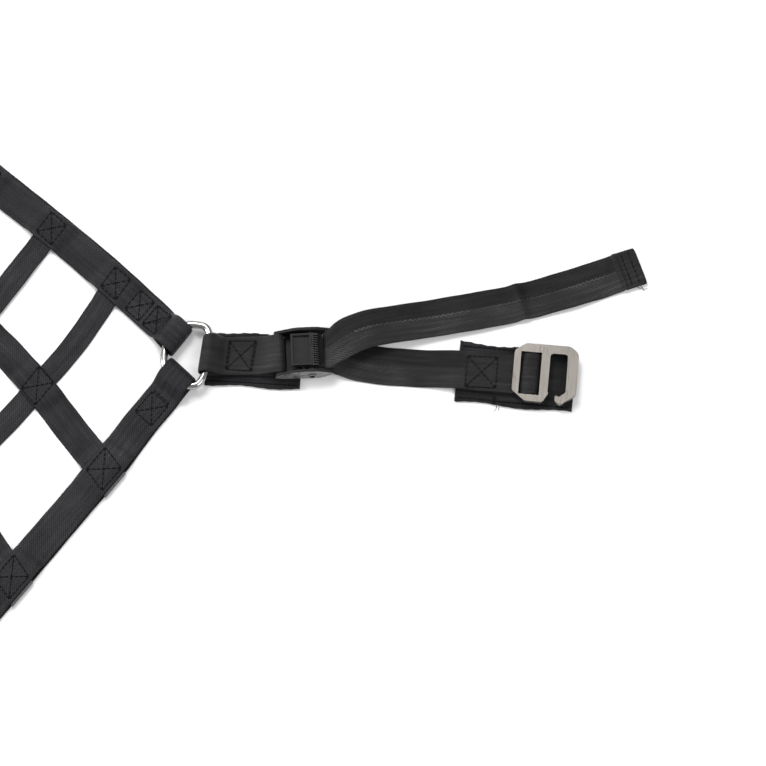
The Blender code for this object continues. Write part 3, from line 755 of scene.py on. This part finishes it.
def sew_crossings(stitches):
    """A box at each crossing, and at both ends of each strap."""
    half = NET_THICKNESS / 2
    for i, size in enumerate(LONG_SWINGS):
        for j, cross_size in enumerate(CROSS_SWINGS):
            along, across = crossing(j, i)
            ways = (bent_way(LONG_WAY, CROSS_WAY, along, LONG_SIDE, size),
                    bent_way(CROSS_WAY, LONG_WAY, across, CROSS_SIDE, cross_size))
            net_box(stitches, on_net(along, across), ways, CROSSING_BOX, NET_HIGH + half)
    for along, size in zip(CROSS_AT, CROSS_SWINGS):
        lies = sag(along, LONG_SIDE, LONG_SAG)
        for across in (lies, CROSS_SIDE - lies):
            centre = on_net(along - swing(across, CROSS_SIDE, size), across)
            ways = (LONG_WAY, bent_way(CROSS_WAY, LONG_WAY, across, CROSS_SIDE, size))
            net_box(stitches, centre, ways, CROSS_END_BOX, NET_TOP + half)
    for across, size in zip(LONG_AT, LONG_SWINGS):
        lies = sag(across, CROSS_SIDE, CROSS_SAG)
        for along in (-lies, LONG_SIDE + lies):
            centre = on_net(along, across - swing(along, LONG_SIDE, size))
            ways = (bent_way(LONG_WAY, CROSS_WAY, along, LONG_SIDE, size), CROSS_WAY)
            net_box(stitches, centre, ways, LONG_END_BOX, NET_TOP + half)


def on_border(way, other, length, marks, zone):
    """The height of a point on top of a border that runs this way."""
    def height(spot):
        distance = (spot - FIRST_CORNER).cross(other).z / way.cross(other).z
        return upper_height(distance, length, marks, zone) + NET_THICKNESS / 2
    return height


def sew_loops(stitches):
    """The boxes that close the borders' loops, and the row beside each of the crosswise ones."""
    ways = (LONG_WAY, CROSS_WAY)
    height = on_border(LONG_WAY, CROSS_WAY, LONG_SIDE, CROSS_AT, CROSS_ZONE)
    for across in (0.0, CROSS_SIDE):
        for near in LONG_LOOPS_AT:
            for along in (near, LONG_SIDE - near):
                net_box(stitches, on_net(along, across), ways, LONG_LOOP_BOX, height)
    height = on_border(CROSS_WAY, LONG_WAY, CROSS_SIDE, LONG_AT, LONG_ZONE)
    for along in (0.0, LONG_SIDE):
        for across, row in (
            (CROSS_LOOP_AT, CROSS_LOOP_ROW),
            (CROSS_SIDE - CROSS_LOOP_AT, CROSS_SIDE - CROSS_LOOP_ROW),
        ):
            net_box(stitches, on_net(along, across), ways, CROSS_LOOP_BOX, height)
            ends = [on_net(along + i * CROSS_LOOP_BOX[0], row) for i in (-1, 1)]
            for spot in ends:
                spot.z = height(spot)
            sew(stitches, *ends)


def make_net():
    make_straps()
    stitches = []
    sew_crossings(stitches)
    make_borders(stitches)
    finish_piece(thread_piece("thread_net", stitches), THREAD)
    stitches = []
    sew_loops(stitches)
    finish_piece(thread_piece("thread_loops", stitches), THREAD)


# The corner pieces


CORNERS = [
    Matrix.Translation(corner * MM) @ Matrix.Rotation(i * math.pi / 2, 4, "Z")
    for i, corner in enumerate(
        (on_net(0, 0), on_net(LONG_SIDE, 0), on_net(LONG_SIDE, CROSS_SIDE), on_net(0, CROSS_SIDE))
    )
]
BUCKLE_FRAME = Matrix.Translation((BUCKLE_SPOT * MM, 0.0, 0.0)) @ Matrix.Rotation(BUCKLE_TURN, 4, "Z")
HOOK_FRAME = Matrix.Translation(Vector((*HOOK_SPOT, 0.0)) * MM) @ Matrix.Rotation(HOOK_TURN, 4, "Z")
LOOP_PAD = (Vector((36.0, -2.2, 0.0)), math.radians(-3.5), 59.0, 36.5)
HOOK_PAD = (Vector((198.4, -13.1, 0.0)), math.radians(-6.0), 73.0, 41.0)


def at_corners(piece, label, look, node=None, spot=Matrix.Identity(4), body=None, sheet=None):
    """The piece and its three copies, each at its own corner, numbered like the CAD nodes."""
    for made in look if isinstance(look, tuple) else (look,):
        piece.data.materials.append(made)
    for number, corner in enumerate(CORNERS, start=1):
        name = f"{label}_{number}"
        copy = piece if number == 1 else placed(name, piece.data)
        copy.name = name
        copy.matrix_world = corner @ spot
        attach(copy, f"{body}_{number}" if body else NET)
        if node:
            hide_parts(f"{node}_{number}")
        if sheet:
            width, length, rests_on = sheet
            [f"{carrier}_{number}" for carrier in rests_on]


def ring_piece(around=112, sides=20):
    """A wire bent to a D: half an ellipse towards the net and a straight bar in the strap."""
    route = []
    for i in range(around):
        angle = math.tau * i / around
        x, y = math.cos(angle), math.sin(angle)
        if x > 0:
            x = RING_BAR_REACH * x**0.4
            y = math.copysign(abs(y) ** 0.95, y)
        else:
            x = RING_NET_REACH * x
        rise = (x + RING_NET_REACH) / (RING_NET_REACH + RING_BAR_REACH)
        flat = Matrix.Rotation(RING_LEAN, 2) @ Vector((x, RING_HALF_HEIGHT * y))
        z = blended(RING_NET_Z, RING_BAR_Z, rise)
        route.append(Vector((flat.x + RING_CENTRE, flat.y, z)))
    rings = []
    for i, middle in enumerate(route):
        along = (route[(i + 1) % around] - route[i - 1]).normalized()
        rings.append(hoop(middle, along, RING_WIRE / 2, sides, turned=0.5))
    maker = bmesh.new()
    skin(maker, rings, closed=True)
    return linked(maker, "ring")


def loop_piece():
    """The short sewn loop from the ring's bar to the buckle's loop bar."""
    bar_x = RING_CENTRE + RING_BAR_REACH
    buckle_turn = BAR_RADIUS + GAP + STRAP_THICKNESS / 2
    ring_top = RING_BAR_Z + RING_TURN
    buckle_top = LOOP_BAR_Z + buckle_turn
    rise = BUCKLE_SPOT - SEWN_TO
    fall = SEWN_FROM - bar_x
    path = arc((BUCKLE_SPOT, LOOP_BAR_Z), buckle_turn, -90.0, 90.0, 18)
    for share in spaced(0.0, 1.0, 0.1)[1:]:
        path.append((BUCKLE_SPOT - rise * share, blended(buckle_top, UPPER_Z, eased(share))))
    path += [(x, UPPER_Z) for x in spaced(SEWN_TO, SEWN_FROM, 2.0)[1:]]
    for share in spaced(0.0, 1.0, 0.1)[1:-1]:
        path.append((SEWN_FROM - fall * share, blended(UPPER_Z, ring_top, eased(share))))
    path += arc((bar_x, RING_BAR_Z), RING_TURN, 90.0, 270.0, 18)
    path += [(x, LOWER_Z) for x in spaced(bar_x + 2.0, SEWN_TO + 1.0, 2.5)]
    path += [(x, LOWER_Z) for x in (SEWN_TO + 4.0, SEWN_TO + 8.0)]
    stations = []
    for x, z in path:
        share = eased((x - bar_x) / (SEWN_FROM - bar_x))
        turned = blended(RING_LEAN, 0.0, share)
        turned += BUCKLE_TURN * eased((x - SEWN_TO) / (BUCKLE_SPOT - SEWN_TO))
        stations.append((Vector((x, 0.0, z)), leaning(turned)))
    return strip("loop", stations, STRAP_WIDTH, STRAP_THICKNESS, closed=True, lanes=20,
                 shift=wandering(0.15, 0.7))


def pad_piece(name, pad, waves, phase, seam):
    """A doubled pad of webbing: rolled long edges, a hem line inside them and a seam across."""
    _, _, length, width = pad
    stations = [
        (Vector((x, 0.0, PAD_THICKNESS / 2)), Vector((0.0, 1.0, 0.0)))
        for x in spaced(-length / 2, length / 2, 0.9)
    ]

    def shift(u):
        share = u / length
        low = waves * math.sin(math.tau * share * 1.4 - 1.0 + length)
        high = waves * math.sin(math.tau * (1.0 - share) * 1.4 + 1.0 + length)
        small = 0.16 * math.sin(0.9 * u + phase) + 0.08 * math.sin(2.1 * u)
        return 0.4 * small - low, high + small

    def relief(u, v):
        rim = eased((abs(v) - 0.86) / 0.08)
        hem = math.exp(-(((abs(v) - 0.83) / 0.025) ** 2))
        end = min(u, length - u)
        pucker = 0.14 * rim * math.sin(0.9 * u + phase)
        sewn = 0.3 * math.exp(-(((u - seam) / 0.6) ** 2)) * eased((abs(v) - 0.6) / 0.1)
        return 0.42 * rim + pucker - 0.16 * hem + 0.12 * math.exp(-((end / 1.6) ** 2)) + sewn

    return strip(name, stations, width - 1.4, PAD_THICKNESS, relief=relief, shift=shift, lanes=44)


def turned_point(spot, turn, x, y, z):
    """A point of the buckle's or the hook's own frame, in the corner's frame."""
    turned = Matrix.Rotation(turn, 2) @ Vector((x, y))
    return Vector((spot[0] + turned.x, spot[1] + turned.y, z))


# x, y, z and heading in degrees of the middle line of the tail and of the run
TAIL_ROWS = (
    (275.5, 60.5, 0.7, 19.5),
    (249.0, 51.0, 0.8, 18.0),
    (229.5, 44.2, 1.9, 16.5),
    (203.5, 37.0, 1.0, 14.5),
    (176.0, 30.6, 2.4, 12.5),
    (147.0, 24.8, 3.4, 10.5),
    (124.0, 20.6, 5.6, 11.5),
    (107.0, 16.6, 8.0, 15.0),
    (95.5, 11.2, 10.2, 18.0),
    (87.5, 5.6, 11.6, 12.0),
)
RUN_ROWS = (
    (91.0, -0.6, 2.8, -6.0),
    (101.0, -3.0, 0.9, -9.0),
    (116.0, -5.4, 0.75, -5.5),
    (138.0, -7.2, 0.75, -4.6),
    (151.0, -8.2, 2.2, -4.6),
    (162.0, -9.1, UPPER_Z, -4.8),
    (176.0, -10.25, UPPER_Z, -5.0),
)
OVER_SLIDER = (
    (-6.0, UPPER_Z), (2.4, UPPER_Z), (4.4, 4.5), (5.5, 5.6), (6.3, 7.0), (7.6, 8.2),
    (9.6, 8.8), (12.2, 8.8), (14.2, 8.2), (15.3, 6.8), (15.5, 4.8), (14.5, 3.3),
    (12.8, 2.7), (11.0, LOWER_Z), (-30.5, LOWER_Z),
)


def hem_stations():
    """The folded hem at the tail's free end, from its cut edge underneath round to its top."""
    end = Vector(TAIL_ROWS[0][:2])
    heading = math.radians(TAIL_ROWS[0][3])
    along = Vector((math.cos(heading), math.sin(heading)))
    low = STRAP_THICKNESS / 2
    high = low + STRAP_THICKNESS + GAP
    folded = [(-HEM_LENGTH * share, low) for share in (1.0, 0.8, 0.6, 0.4, 0.2)]
    folded += arc((0.0, (low + high) / 2), (high - low) / 2, -90.0, 90.0, 10)
    folded += [(-HEM_LENGTH * share, high) for share in (0.2, 0.4, 0.6, 0.8, 0.92)]
    # the step where the hem's cut edge lies underneath
    folded += [(-HEM_LENGTH, high + 0.7), (-12.8, high + 0.6), (-13.4, high - 0.2), (-14.2, high - 0.9)]
    folded += [(-16.0, high - 1.2)]
    return [
        (Vector((end.x + along.x * reach, end.y + along.y * reach, z)), leaning(heading))
        for reach, z in folded
    ]


def strap_piece():
    """The long strap: tail, turn round the end bar, run, and the sewn loop in the hook."""
    turn_radius = BAR_RADIUS + GAP + STRAP_THICKNESS / 2
    stations = hem_stations()
    hem = len(stations)
    for x, y, z, degrees in curve_through(TAIL_ROWS[1:], 18):
        stations.append((Vector((x, y, z)), leaning(math.radians(degrees))))
    tail = len(stations)
    for x, z in arc((END_BAR_X, END_BAR_Z), turn_radius, 90.0, 270.0, 20):
        lift = (z - END_BAR_Z) / turn_radius
        across = leaning(BUCKLE_TURN + math.radians(2.0 * lift))
        middle = turned_point((BUCKLE_SPOT, 0.0), BUCKLE_TURN, x, 0.3 * lift, z)
        stations.append((middle, across))
    bar = len(stations)
    for x, y, z, degrees in curve_through(RUN_ROWS, 7):
        stations.append((Vector((x, y, min(z, UPPER_Z))), leaning(math.radians(degrees))))
    run = len(stations)
    for x, z in curve_through(OVER_SLIDER, 5):
        stations.append((turned_point(HOOK_SPOT, HOOK_TURN, x, 0.0, z), leaning(HOOK_TURN)))
    points = [middle for middle, _ in stations]
    reach = [0.0]
    for before, after in zip(points, points[1:]):
        reach.append(reach[-1] + (after - before).length)
    tail_from, tail_to = reach[hem], reach[tail - 1]
    run_from, run_to = reach[bar], reach[run - 1]
    fold_at = tail_from + 50.0
    raised = [reach[i] for i in range(run, len(points)) if points[i].z > 5.0]
    edges = wandering(0.18, 1.9)

    def shift(u):
        wide = eased((u - raised[0] + 3.0) / 3.0) * eased((raised[-1] + 3.0 - u) / 3.0)
        low, high = edges(u)
        return low - wide, high + wide

    def relief(u, v):
        lifted = 0.0
        if tail_from < u < tail_to:
            free = eased((u - tail_from) / 8.0) * eased((tail_to - u) / 26.0)
            wave = abs(math.sin(math.pi * u / SCALLOP_PITCH))
            edge = 0.02 + 0.06 * wave
            step = 1.0 - eased((v - edge + 0.04) / 0.09)
            bead = math.exp(-(((v - edge) / 0.05) ** 2))
            lifted -= free * (0.42 * step + 0.22 * bead * (0.4 + 0.6 * wave))
            lifted -= 1.9 * math.exp(-(((u - fold_at) / 3.2) ** 2)) * free
        elif run_from < u < run_to:
            free = eased((u - run_from) / 12.0) * eased((run_to - u) / 26.0)
            lifted = 0.5 * free * math.exp(-(((v - 0.05) / 0.2) ** 2))
        return lifted

    piece = strip("strap", stations, STRAP_WIDTH, STRAP_THICKNESS, False, relief, shift, 40)
    return piece, reach[-1]


def seam_threads(name):
    """Every seam of a corner: the sewn boxes, the hem's two rows, the hook pad's seam and the pads'
    lines.
    """
    top = UPPER_Z + STRAP_THICKNESS / 2
    stitches = []
    rows = (
        ((20.6, 9.4), (37.6, 9.4), (34.6, -10.4), (18.4, -9.2)),
        ((168.4, -0.2), (187.2, -1.4), (185.7, -21.6), (166.8, -20.6)),
    )
    for row in rows:
        sew_box(stitches, [Vector((x, y, top)) for x, y in row])
    # the loop's box is sewn twice along its two sides
    for i, j, aside in ((0, 3, 1.1), (1, 2, -1.1)):
        ends = [Vector((rows[0][k][0] + aside, rows[0][k][1], top)) for k in (i, j)]
        sew(stitches, *ends)
    for x in (184.3, 185.6):
        sew(stitches, Vector((x, -25.2, PAD_THICKNESS)), Vector((x - 0.5, -31.8, PAD_THICKNESS)))
    end = Vector((*TAIL_ROWS[0][:2], 0.0))
    heading = math.radians(TAIL_ROWS[0][3])
    along = Vector((math.cos(heading), math.sin(heading), 0.0))
    for back in (3.4, 8.2):
        middle = end - along * back + UP * (2.0 * STRAP_THICKNESS + GAP)
        side = leaning(heading) * (STRAP_WIDTH / 2 - 1.6)
        sew(stitches, middle - side, middle + side)
    for middle, turn, length, width in (LOOP_PAD, HOOK_PAD):
        stand = Matrix.Translation(middle) @ Matrix.Rotation(turn, 4, "Z")
        reach = length / 2 - 2.0
        for y in (3.4 - width / 2, width / 2 - 3.4):
            ends = [stand @ Vector((x, y, PAD_THICKNESS)) for x in (-reach, reach)]
            sew(stitches, *ends)
    return thread_piece(name, stitches)


def loose_ends(name):
    """Short ends of thread that stick out at the hem's corner and at the hook pad's seam."""
    ends = (
        ((272.0, 48.5, 2.6), (277.0, 45.4, 1.4), (281.0, 45.9, 0.7)),
        ((272.4, 49.3, 2.7), (276.6, 47.6, 1.6), (279.0, 44.4, 0.8)),
        ((185.6, -29.4, 1.7), (186.2, -33.2, 1.0), (184.4, -35.4, 0.5)),
        ((186.4, -29.0, 1.7), (187.8, -32.2, 1.1), (187.4, -34.6, 0.5)),
    )
    maker = bmesh.new()
    for rows in ends:
        route = [Vector(row) for row in curve_through(rows, 8)]
        rings = []
        for i, middle in enumerate(route):
            along = route[min(i + 1, len(route) - 1)] - route[max(i - 1, 0)]
            rings.append(hoop(middle, along.normalized(), 0.17, 6))
        skin(maker, rings)
    return linked(maker, name)


# Hard pieces, rebuilt finer than their solids and with softened edges


def prism(name, outline, low, high, upright=False):
    """An outline drawn out from low to high: along z, or along y where it stands upright."""
    levels = [
        [(a, depth, b) if upright else (a, b, depth) for a, b in outline]
        for depth in (low, high)
    ]
    maker = bmesh.new()
    skin(maker, levels)
    return linked(maker, name, smooth=False)


def box(name, x, y, z):
    return prism(name, [(x[0], y[0]), (x[1], y[0]), (x[1], y[1]), (x[0], y[1])], z[0], z[1])


def rod(name, centre, radius, reach, sides):
    outline = arc(centre, radius, 0.0, 360.0 * (sides - 1) / sides, sides - 1)
    return prism(name, outline, -reach, reach, upright=True)


def rounded(corners, steps=8):
    """An outline from rows of x, y and corner radius."""
    outline = []
    count = len(corners)
    for i, (x, y, radius) in enumerate(corners):
        here = Vector((x, y))
        before = Vector(corners[i - 1][:2]) - here
        after = Vector(corners[(i + 1) % count][:2]) - here
        pull = radius / math.tan(before.angle(after) / 2)
        start = here + before.normalized() * pull
        end = here + after.normalized() * pull
        for j in range(steps + 1):
            t = j / steps
            point = start * (1 - t) ** 2 + here * 2 * t * (1 - t) + end * t * t
            outline.append((point.x, point.y))
    return outline


def hardened(mesh, big=5.0 * MM * MM):
    """Shades large faces flat and lets the small ones of an edge run smoothly between them."""
    mesh.shade_smooth()
    flat = {}
    round_ones = {}
    for face in mesh.polygons:
        found = flat if face.area > big else round_ones
        for index in face.vertices:
            found.setdefault(index, []).append((face.normal.copy(), face.area))
    normals = []
    for face in mesh.polygons:
        for index in face.vertices:
            normal = face.normal
            if face.area <= big:
                near = [row for row in flat.get(index, []) if row[0].dot(normal) > 0.35]
                near = near or [row for row in round_ones[index] if row[0].dot(normal) > 0.6]
                summed = sum((way * area for way, area in near), Vector())
                normal = summed.normalized() if summed.length > 0 else normal
            normals.append(normal)
    mesh.normals_split_custom_set([tuple(normal) for normal in normals])


def combined(base, added, removed, soft, angle=30.0):
    """Joins and cuts the base, softens its edges by this many mm and bakes the result."""
    for operation, others in (("UNION", added), ("DIFFERENCE", removed)):
        for other in others:
            step = base.modifiers.new(other.name, "BOOLEAN")
            step.operation = operation
            step.solver = "EXACT"
            step.object = other
    edge = base.modifiers.new("edge", "BEVEL")
    edge.width = soft * MM
    edge.segments = 3
    edge.limit_method = "ANGLE"
    edge.angle_limit = math.radians(angle)
    edge.harden_normals = False
    bpy.context.view_layer.update()
    graph = bpy.context.evaluated_depsgraph_get()
    mesh = bpy.data.meshes.new_from_object(base.evaluated_get(graph))
    hardened(mesh)
    piece = placed(base.name + "_fine", mesh)
    for helper in (base, *added, *removed):
        bpy.data.objects.remove(helper, do_unlink=True)
    return piece


def buckle_frame():
    """Two cheeks joined by the loop bar, a floor plate and the end bar."""
    half = BUCKLE_INSIDE / 2
    outline = arc((0.0, LOOP_BAR_Z), 2.8, 105.0, 255.0, 12)
    outline += [(4.0, FRAME_Z), (25.0, FRAME_Z)]
    outline += arc((END_BAR_X, END_BAR_Z), 2.3, -75.0, 75.0, 12)
    outline += [(27.0, 12.0), (25.2, 12.9), (22.5, 13.4), (12.0, 13.4), (8.6, 12.6), (6.0, 11.2)]
    cheeks = [
        prism(f"cheek{side}", outline, side * half - (CHEEK if side < 0 else 0.0),
              side * half + (CHEEK if side > 0 else 0.0), upright=True)
        for side in (-1, 1)
    ]
    plate = box("floor_plate", (4.5, 14.0), (-half - 1.0, half + 1.0), (FRAME_Z + 0.01, 3.5))
    loop_bar = rod("loop_bar", (0.0, LOOP_BAR_Z), BAR_RADIUS, half + 1.0, 32)
    end_bar = rod("end_bar", (END_BAR_X, END_BAR_Z), BAR_RADIUS, half + 1.0, 32)
    hole = rod("pin_hole", PIVOT, PIN_RADIUS + GAP, half + 6.0, 32)
    frame_piece = combined(plate, (*cheeks, loop_bar, end_bar), (hole,), 0.25)
    # painted reflection: the cheeks' outer sides take the grey coating for the pale floor mirrored in
    # them; the rest keeps the black coating
    for face in frame_piece.data.polygons:
        outer = abs(face.normal.y) > 0.6 and abs(face.center.y) > (half + CHEEK - 0.3) * MM
        face.material_index = int(outer)
    return frame_piece


def lever():
    """The cam lever: a thumb plate with a raised rim, a hub on the pin and ribbed teeth."""
    profile = [(7.5, 11.8), (15.0, 10.9), (16.2, 8.0)]
    profile += arc(PIVOT, 3.9, 180.0, 320.0, 14)
    for tip_z in (7.0, 8.7, 10.4):
        profile += [(25.2, tip_z - 0.85), (27.35, tip_z)]
    profile += [(25.2, 11.4), (24.6, 12.7), (23.6, 13.2), (23.0, 14.0), (22.2, 13.5)]
    profile += [(21.6, 14.3), (20.8, 13.8), (20.2, 14.5), (8.2, 14.2), (7.5, 13.7)]
    half = LEVER_WIDTH / 2
    body = prism("lever_body", profile, -half, half, upright=True)
    hole = rod("lever_hole", PIVOT, PIN_RADIUS + GAP, half + 2.0, 32)
    dish = box("dish", (8.9, 18.9), (-half + 1.4, half - 1.4), (12.9, 16.0))
    # short notches part the ribbed edge into a row of teeth
    notches = [
        box("notch", (21.2, 28.5), (middle - 0.35, middle + 0.35), (5.0, 16.0))
        for middle in [1.5 * step for step in range(-6, 7)]
    ]
    piece = combined(body, (), (hole, dish, *notches), 0.16)
    # the coating is rubbed on top of the ribbed edge
    for face in piece.data.polygons:
        ribbed = face.center.x > 20.0 * MM and face.center.z > 12.9 * MM
        face.material_index = int(ribbed and face.normal.z > 0.4)
    return piece


def pin(sides=40):
    """The rivet through the cheeks and the lever: a low domed head with a hole at each end."""
    reach = BUCKLE_INSIDE / 2 + CHEEK + GAP
    profile = [(1.8, reach - 2.6), (1.8, reach + 0.55), (1.95, reach + 0.7), (2.3, reach + 0.65)]
    profile += [(2.7, reach + 0.45), (2.9, reach + 0.2), (2.9, reach), (PIN_RADIUS, reach)]
    profile += [(radius, -y) for radius, y in reversed(profile)]
    turns = [math.tau * i / sides for i in range(sides)]
    maker = bmesh.new()
    skin(maker, [
        [(PIVOT[0] + radius * math.cos(a), y, PIVOT[1] + radius * math.sin(a)) for a in turns]
        for radius, y in profile
    ])
    piece = linked(maker, "pin")
    # painted reflection and painted shade: the head takes the grey coating for the floor mirrored in
    # it, as the cheeks' outer sides do, and the hole's faces take the black coating for the shade in
    # the hollow
    for face in piece.data.polygons:
        from_axis = math.hypot(face.center.x - PIVOT[0] * MM, face.center.z - PIVOT[1] * MM)
        face.material_index = int(from_axis < 1.82 * MM)
    piece.data.set_sharp_from_angle(angle=math.radians(50.0))
    return piece


def hook():
    """The flat hook: a slotted frame for the webbing and an open mouth beyond it."""
    outline = rounded((
        (0.0, -12.0, 3.6), (8.5, -18.3, 4.0), (19.6, -18.3, 2.2), (22.8, -12.4, 0.8),
        (22.2, -11.0, 0.6), (22.4, 14.0, 2.2), (33.2, 14.0, 2.2), (33.4, -11.0, 2.6),
        (29.6, -14.2, 1.4), (26.7, -13.2, 1.0), (27.3, -17.6, 2.0), (30.8, -19.4, 3.2),
        (40.2, -11.8, 6.0), (39.9, 15.2, 5.0), (34.8, 19.6, 5.0), (6.9, 19.6, 4.4),
        (0.0, 14.4, 3.8),
    ))
    top = HOOK_Z + HOOK_THICKNESS
    plate = prism("hook_plate", outline, HOOK_Z, top)
    span = (-SLOT_HALF, SLOT_HALF)
    through = (HOOK_Z - 1.0, top + 1.0)
    cuts = (
        box("slot_in", (SLOT_LEFT, SLIDER_LEFT), span, through),
        box("slot_out", (SLIDER_RIGHT, SLOT_RIGHT), span, through),
        box("over_slider", (SLIDER_LEFT - 1.0, SLIDER_RIGHT + 1.0), span,
            (HOOK_Z + SLIDER_THICKNESS, top + 1.0)),
    )
    return combined(plate, (), cuts, 0.6, 45.0)


def make_corners():
    at_corners(ring_piece(), "bright_ring", BRIGHT, "ring")
    bar_x = RING_CENTRE + RING_BAR_REACH
    loop_length = 2.0 * (BUCKLE_SPOT - bar_x) + 20.0
    at_corners(loop_piece(), "sewn_loop", STRAP_WEB, "loop",
               sheet=(STRAP_WIDTH, loop_length, ["sewn_pad", "bright_ring"]))
    for pad, label, node, waves, phase, seam in (
        (LOOP_PAD, "sewn_pad", "loop_pad", 0.7, 0.4, 10.9),
        (HOOK_PAD, "padding", "hook_pad", 0.9, 2.2, 23.4),
    ):
        middle, turn, length, width = pad
        spot = Matrix.Translation(middle * MM) @ Matrix.Rotation(turn, 4, "Z")
        at_corners(pad_piece(label, pad, waves, phase, seam), label, PAD_WEB, node, spot=spot,
                   sheet=(width, length, []))
    strap, strap_length = strap_piece()
    at_corners(strap, "tail_strap", TAIL_WEB, "strap",
               sheet=(STRAP_WIDTH, strap_length, ["padding", "cam_frame"]))
    at_corners(seam_threads("seams"), "seams", THREAD)
    at_corners(loose_ends("loose_ends"), "loose_ends", THREAD)
    at_corners(buckle_frame(), "cam_frame", (MATT, FLOOR_REFLECTION), "buckle", spot=BUCKLE_FRAME)
    at_corners(lever(), "cam_lever", (MATT, RUBBED), "lever", spot=BUCKLE_FRAME,
               body="lever")
    at_corners(pin(), "cam_pin", (FLOOR_REFLECTION, MATT), "pin", spot=BUCKLE_FRAME)
    at_corners(hook(), "flat_hook", BRUSHED, "hook", spot=HOOK_FRAME)


# The floor, the lights and the camera


def make_stage():
    pale, _, _ = shader_of("pale_floor", (0.93, 0.93, 0.935), 0.7)
    maker = bmesh.new()
    reach = 6.0
    corners = [(-reach, -reach), (reach, -reach), (reach, reach), (-reach, reach)]
    maker.faces.new([maker.verts.new((x, y, -0.00005)) for x, y in corners])
    floor = linked(maker, "floor", smooth=False)
    floor.data.materials.append(pale)

    # plain tones, so that the pale floor comes out as white as in the photo
    bpy.context.scene.view_settings.view_transform = "Standard"
    world = bpy.data.worlds.new("studio")
    bpy.context.scene.world = world
    world.use_nodes = True
    sky = world.node_tree.nodes["Background"]
    sky.inputs["Color"].default_value = (1.0, 1.0, 1.0, 1.0)
    sky.inputs["Strength"].default_value = 0.42
    # place, size and power of each soft light, which faces the picture's middle
    middle = PICTURE_MIDDLE * MM
    for name, place, size, power in (
        ("key", (-0.6, 1.25, 2.1), 1.2, 40.0),
        ("fill", (1.3, -1.1, 2.0), 1.6, 30.0),
        ("side", (-2.0, 0.3, 0.8), 0.7, 26.0),
    ):
        light = bpy.data.lights.new(name, "AREA")
        light.size = size
        light.energy = power
        lamp = placed(name, light)
        lamp.location = middle + Vector(place)
        lamp.rotation_euler = (-Vector(place)).to_track_quat("-Z", "Y").to_euler()

    lens = bpy.data.cameras.new("camera")
    camera = placed("camera", lens)
    away = Vector((0.0, -math.cos(CAMERA_ELEVATION), math.sin(CAMERA_ELEVATION)))
    camera.location = middle + away * CAMERA_DISTANCE * MM
    camera.rotation_euler = (-away).to_track_quat("-Z", "Y").to_euler()
    lens.sensor_width = 36.0
    lens.lens = lens.sensor_width * CAMERA_DISTANCE / PICTURE_SIDE
    bpy.context.scene.camera = camera


def main():
    make_stage()
    make_net()
    make_corners()


main()
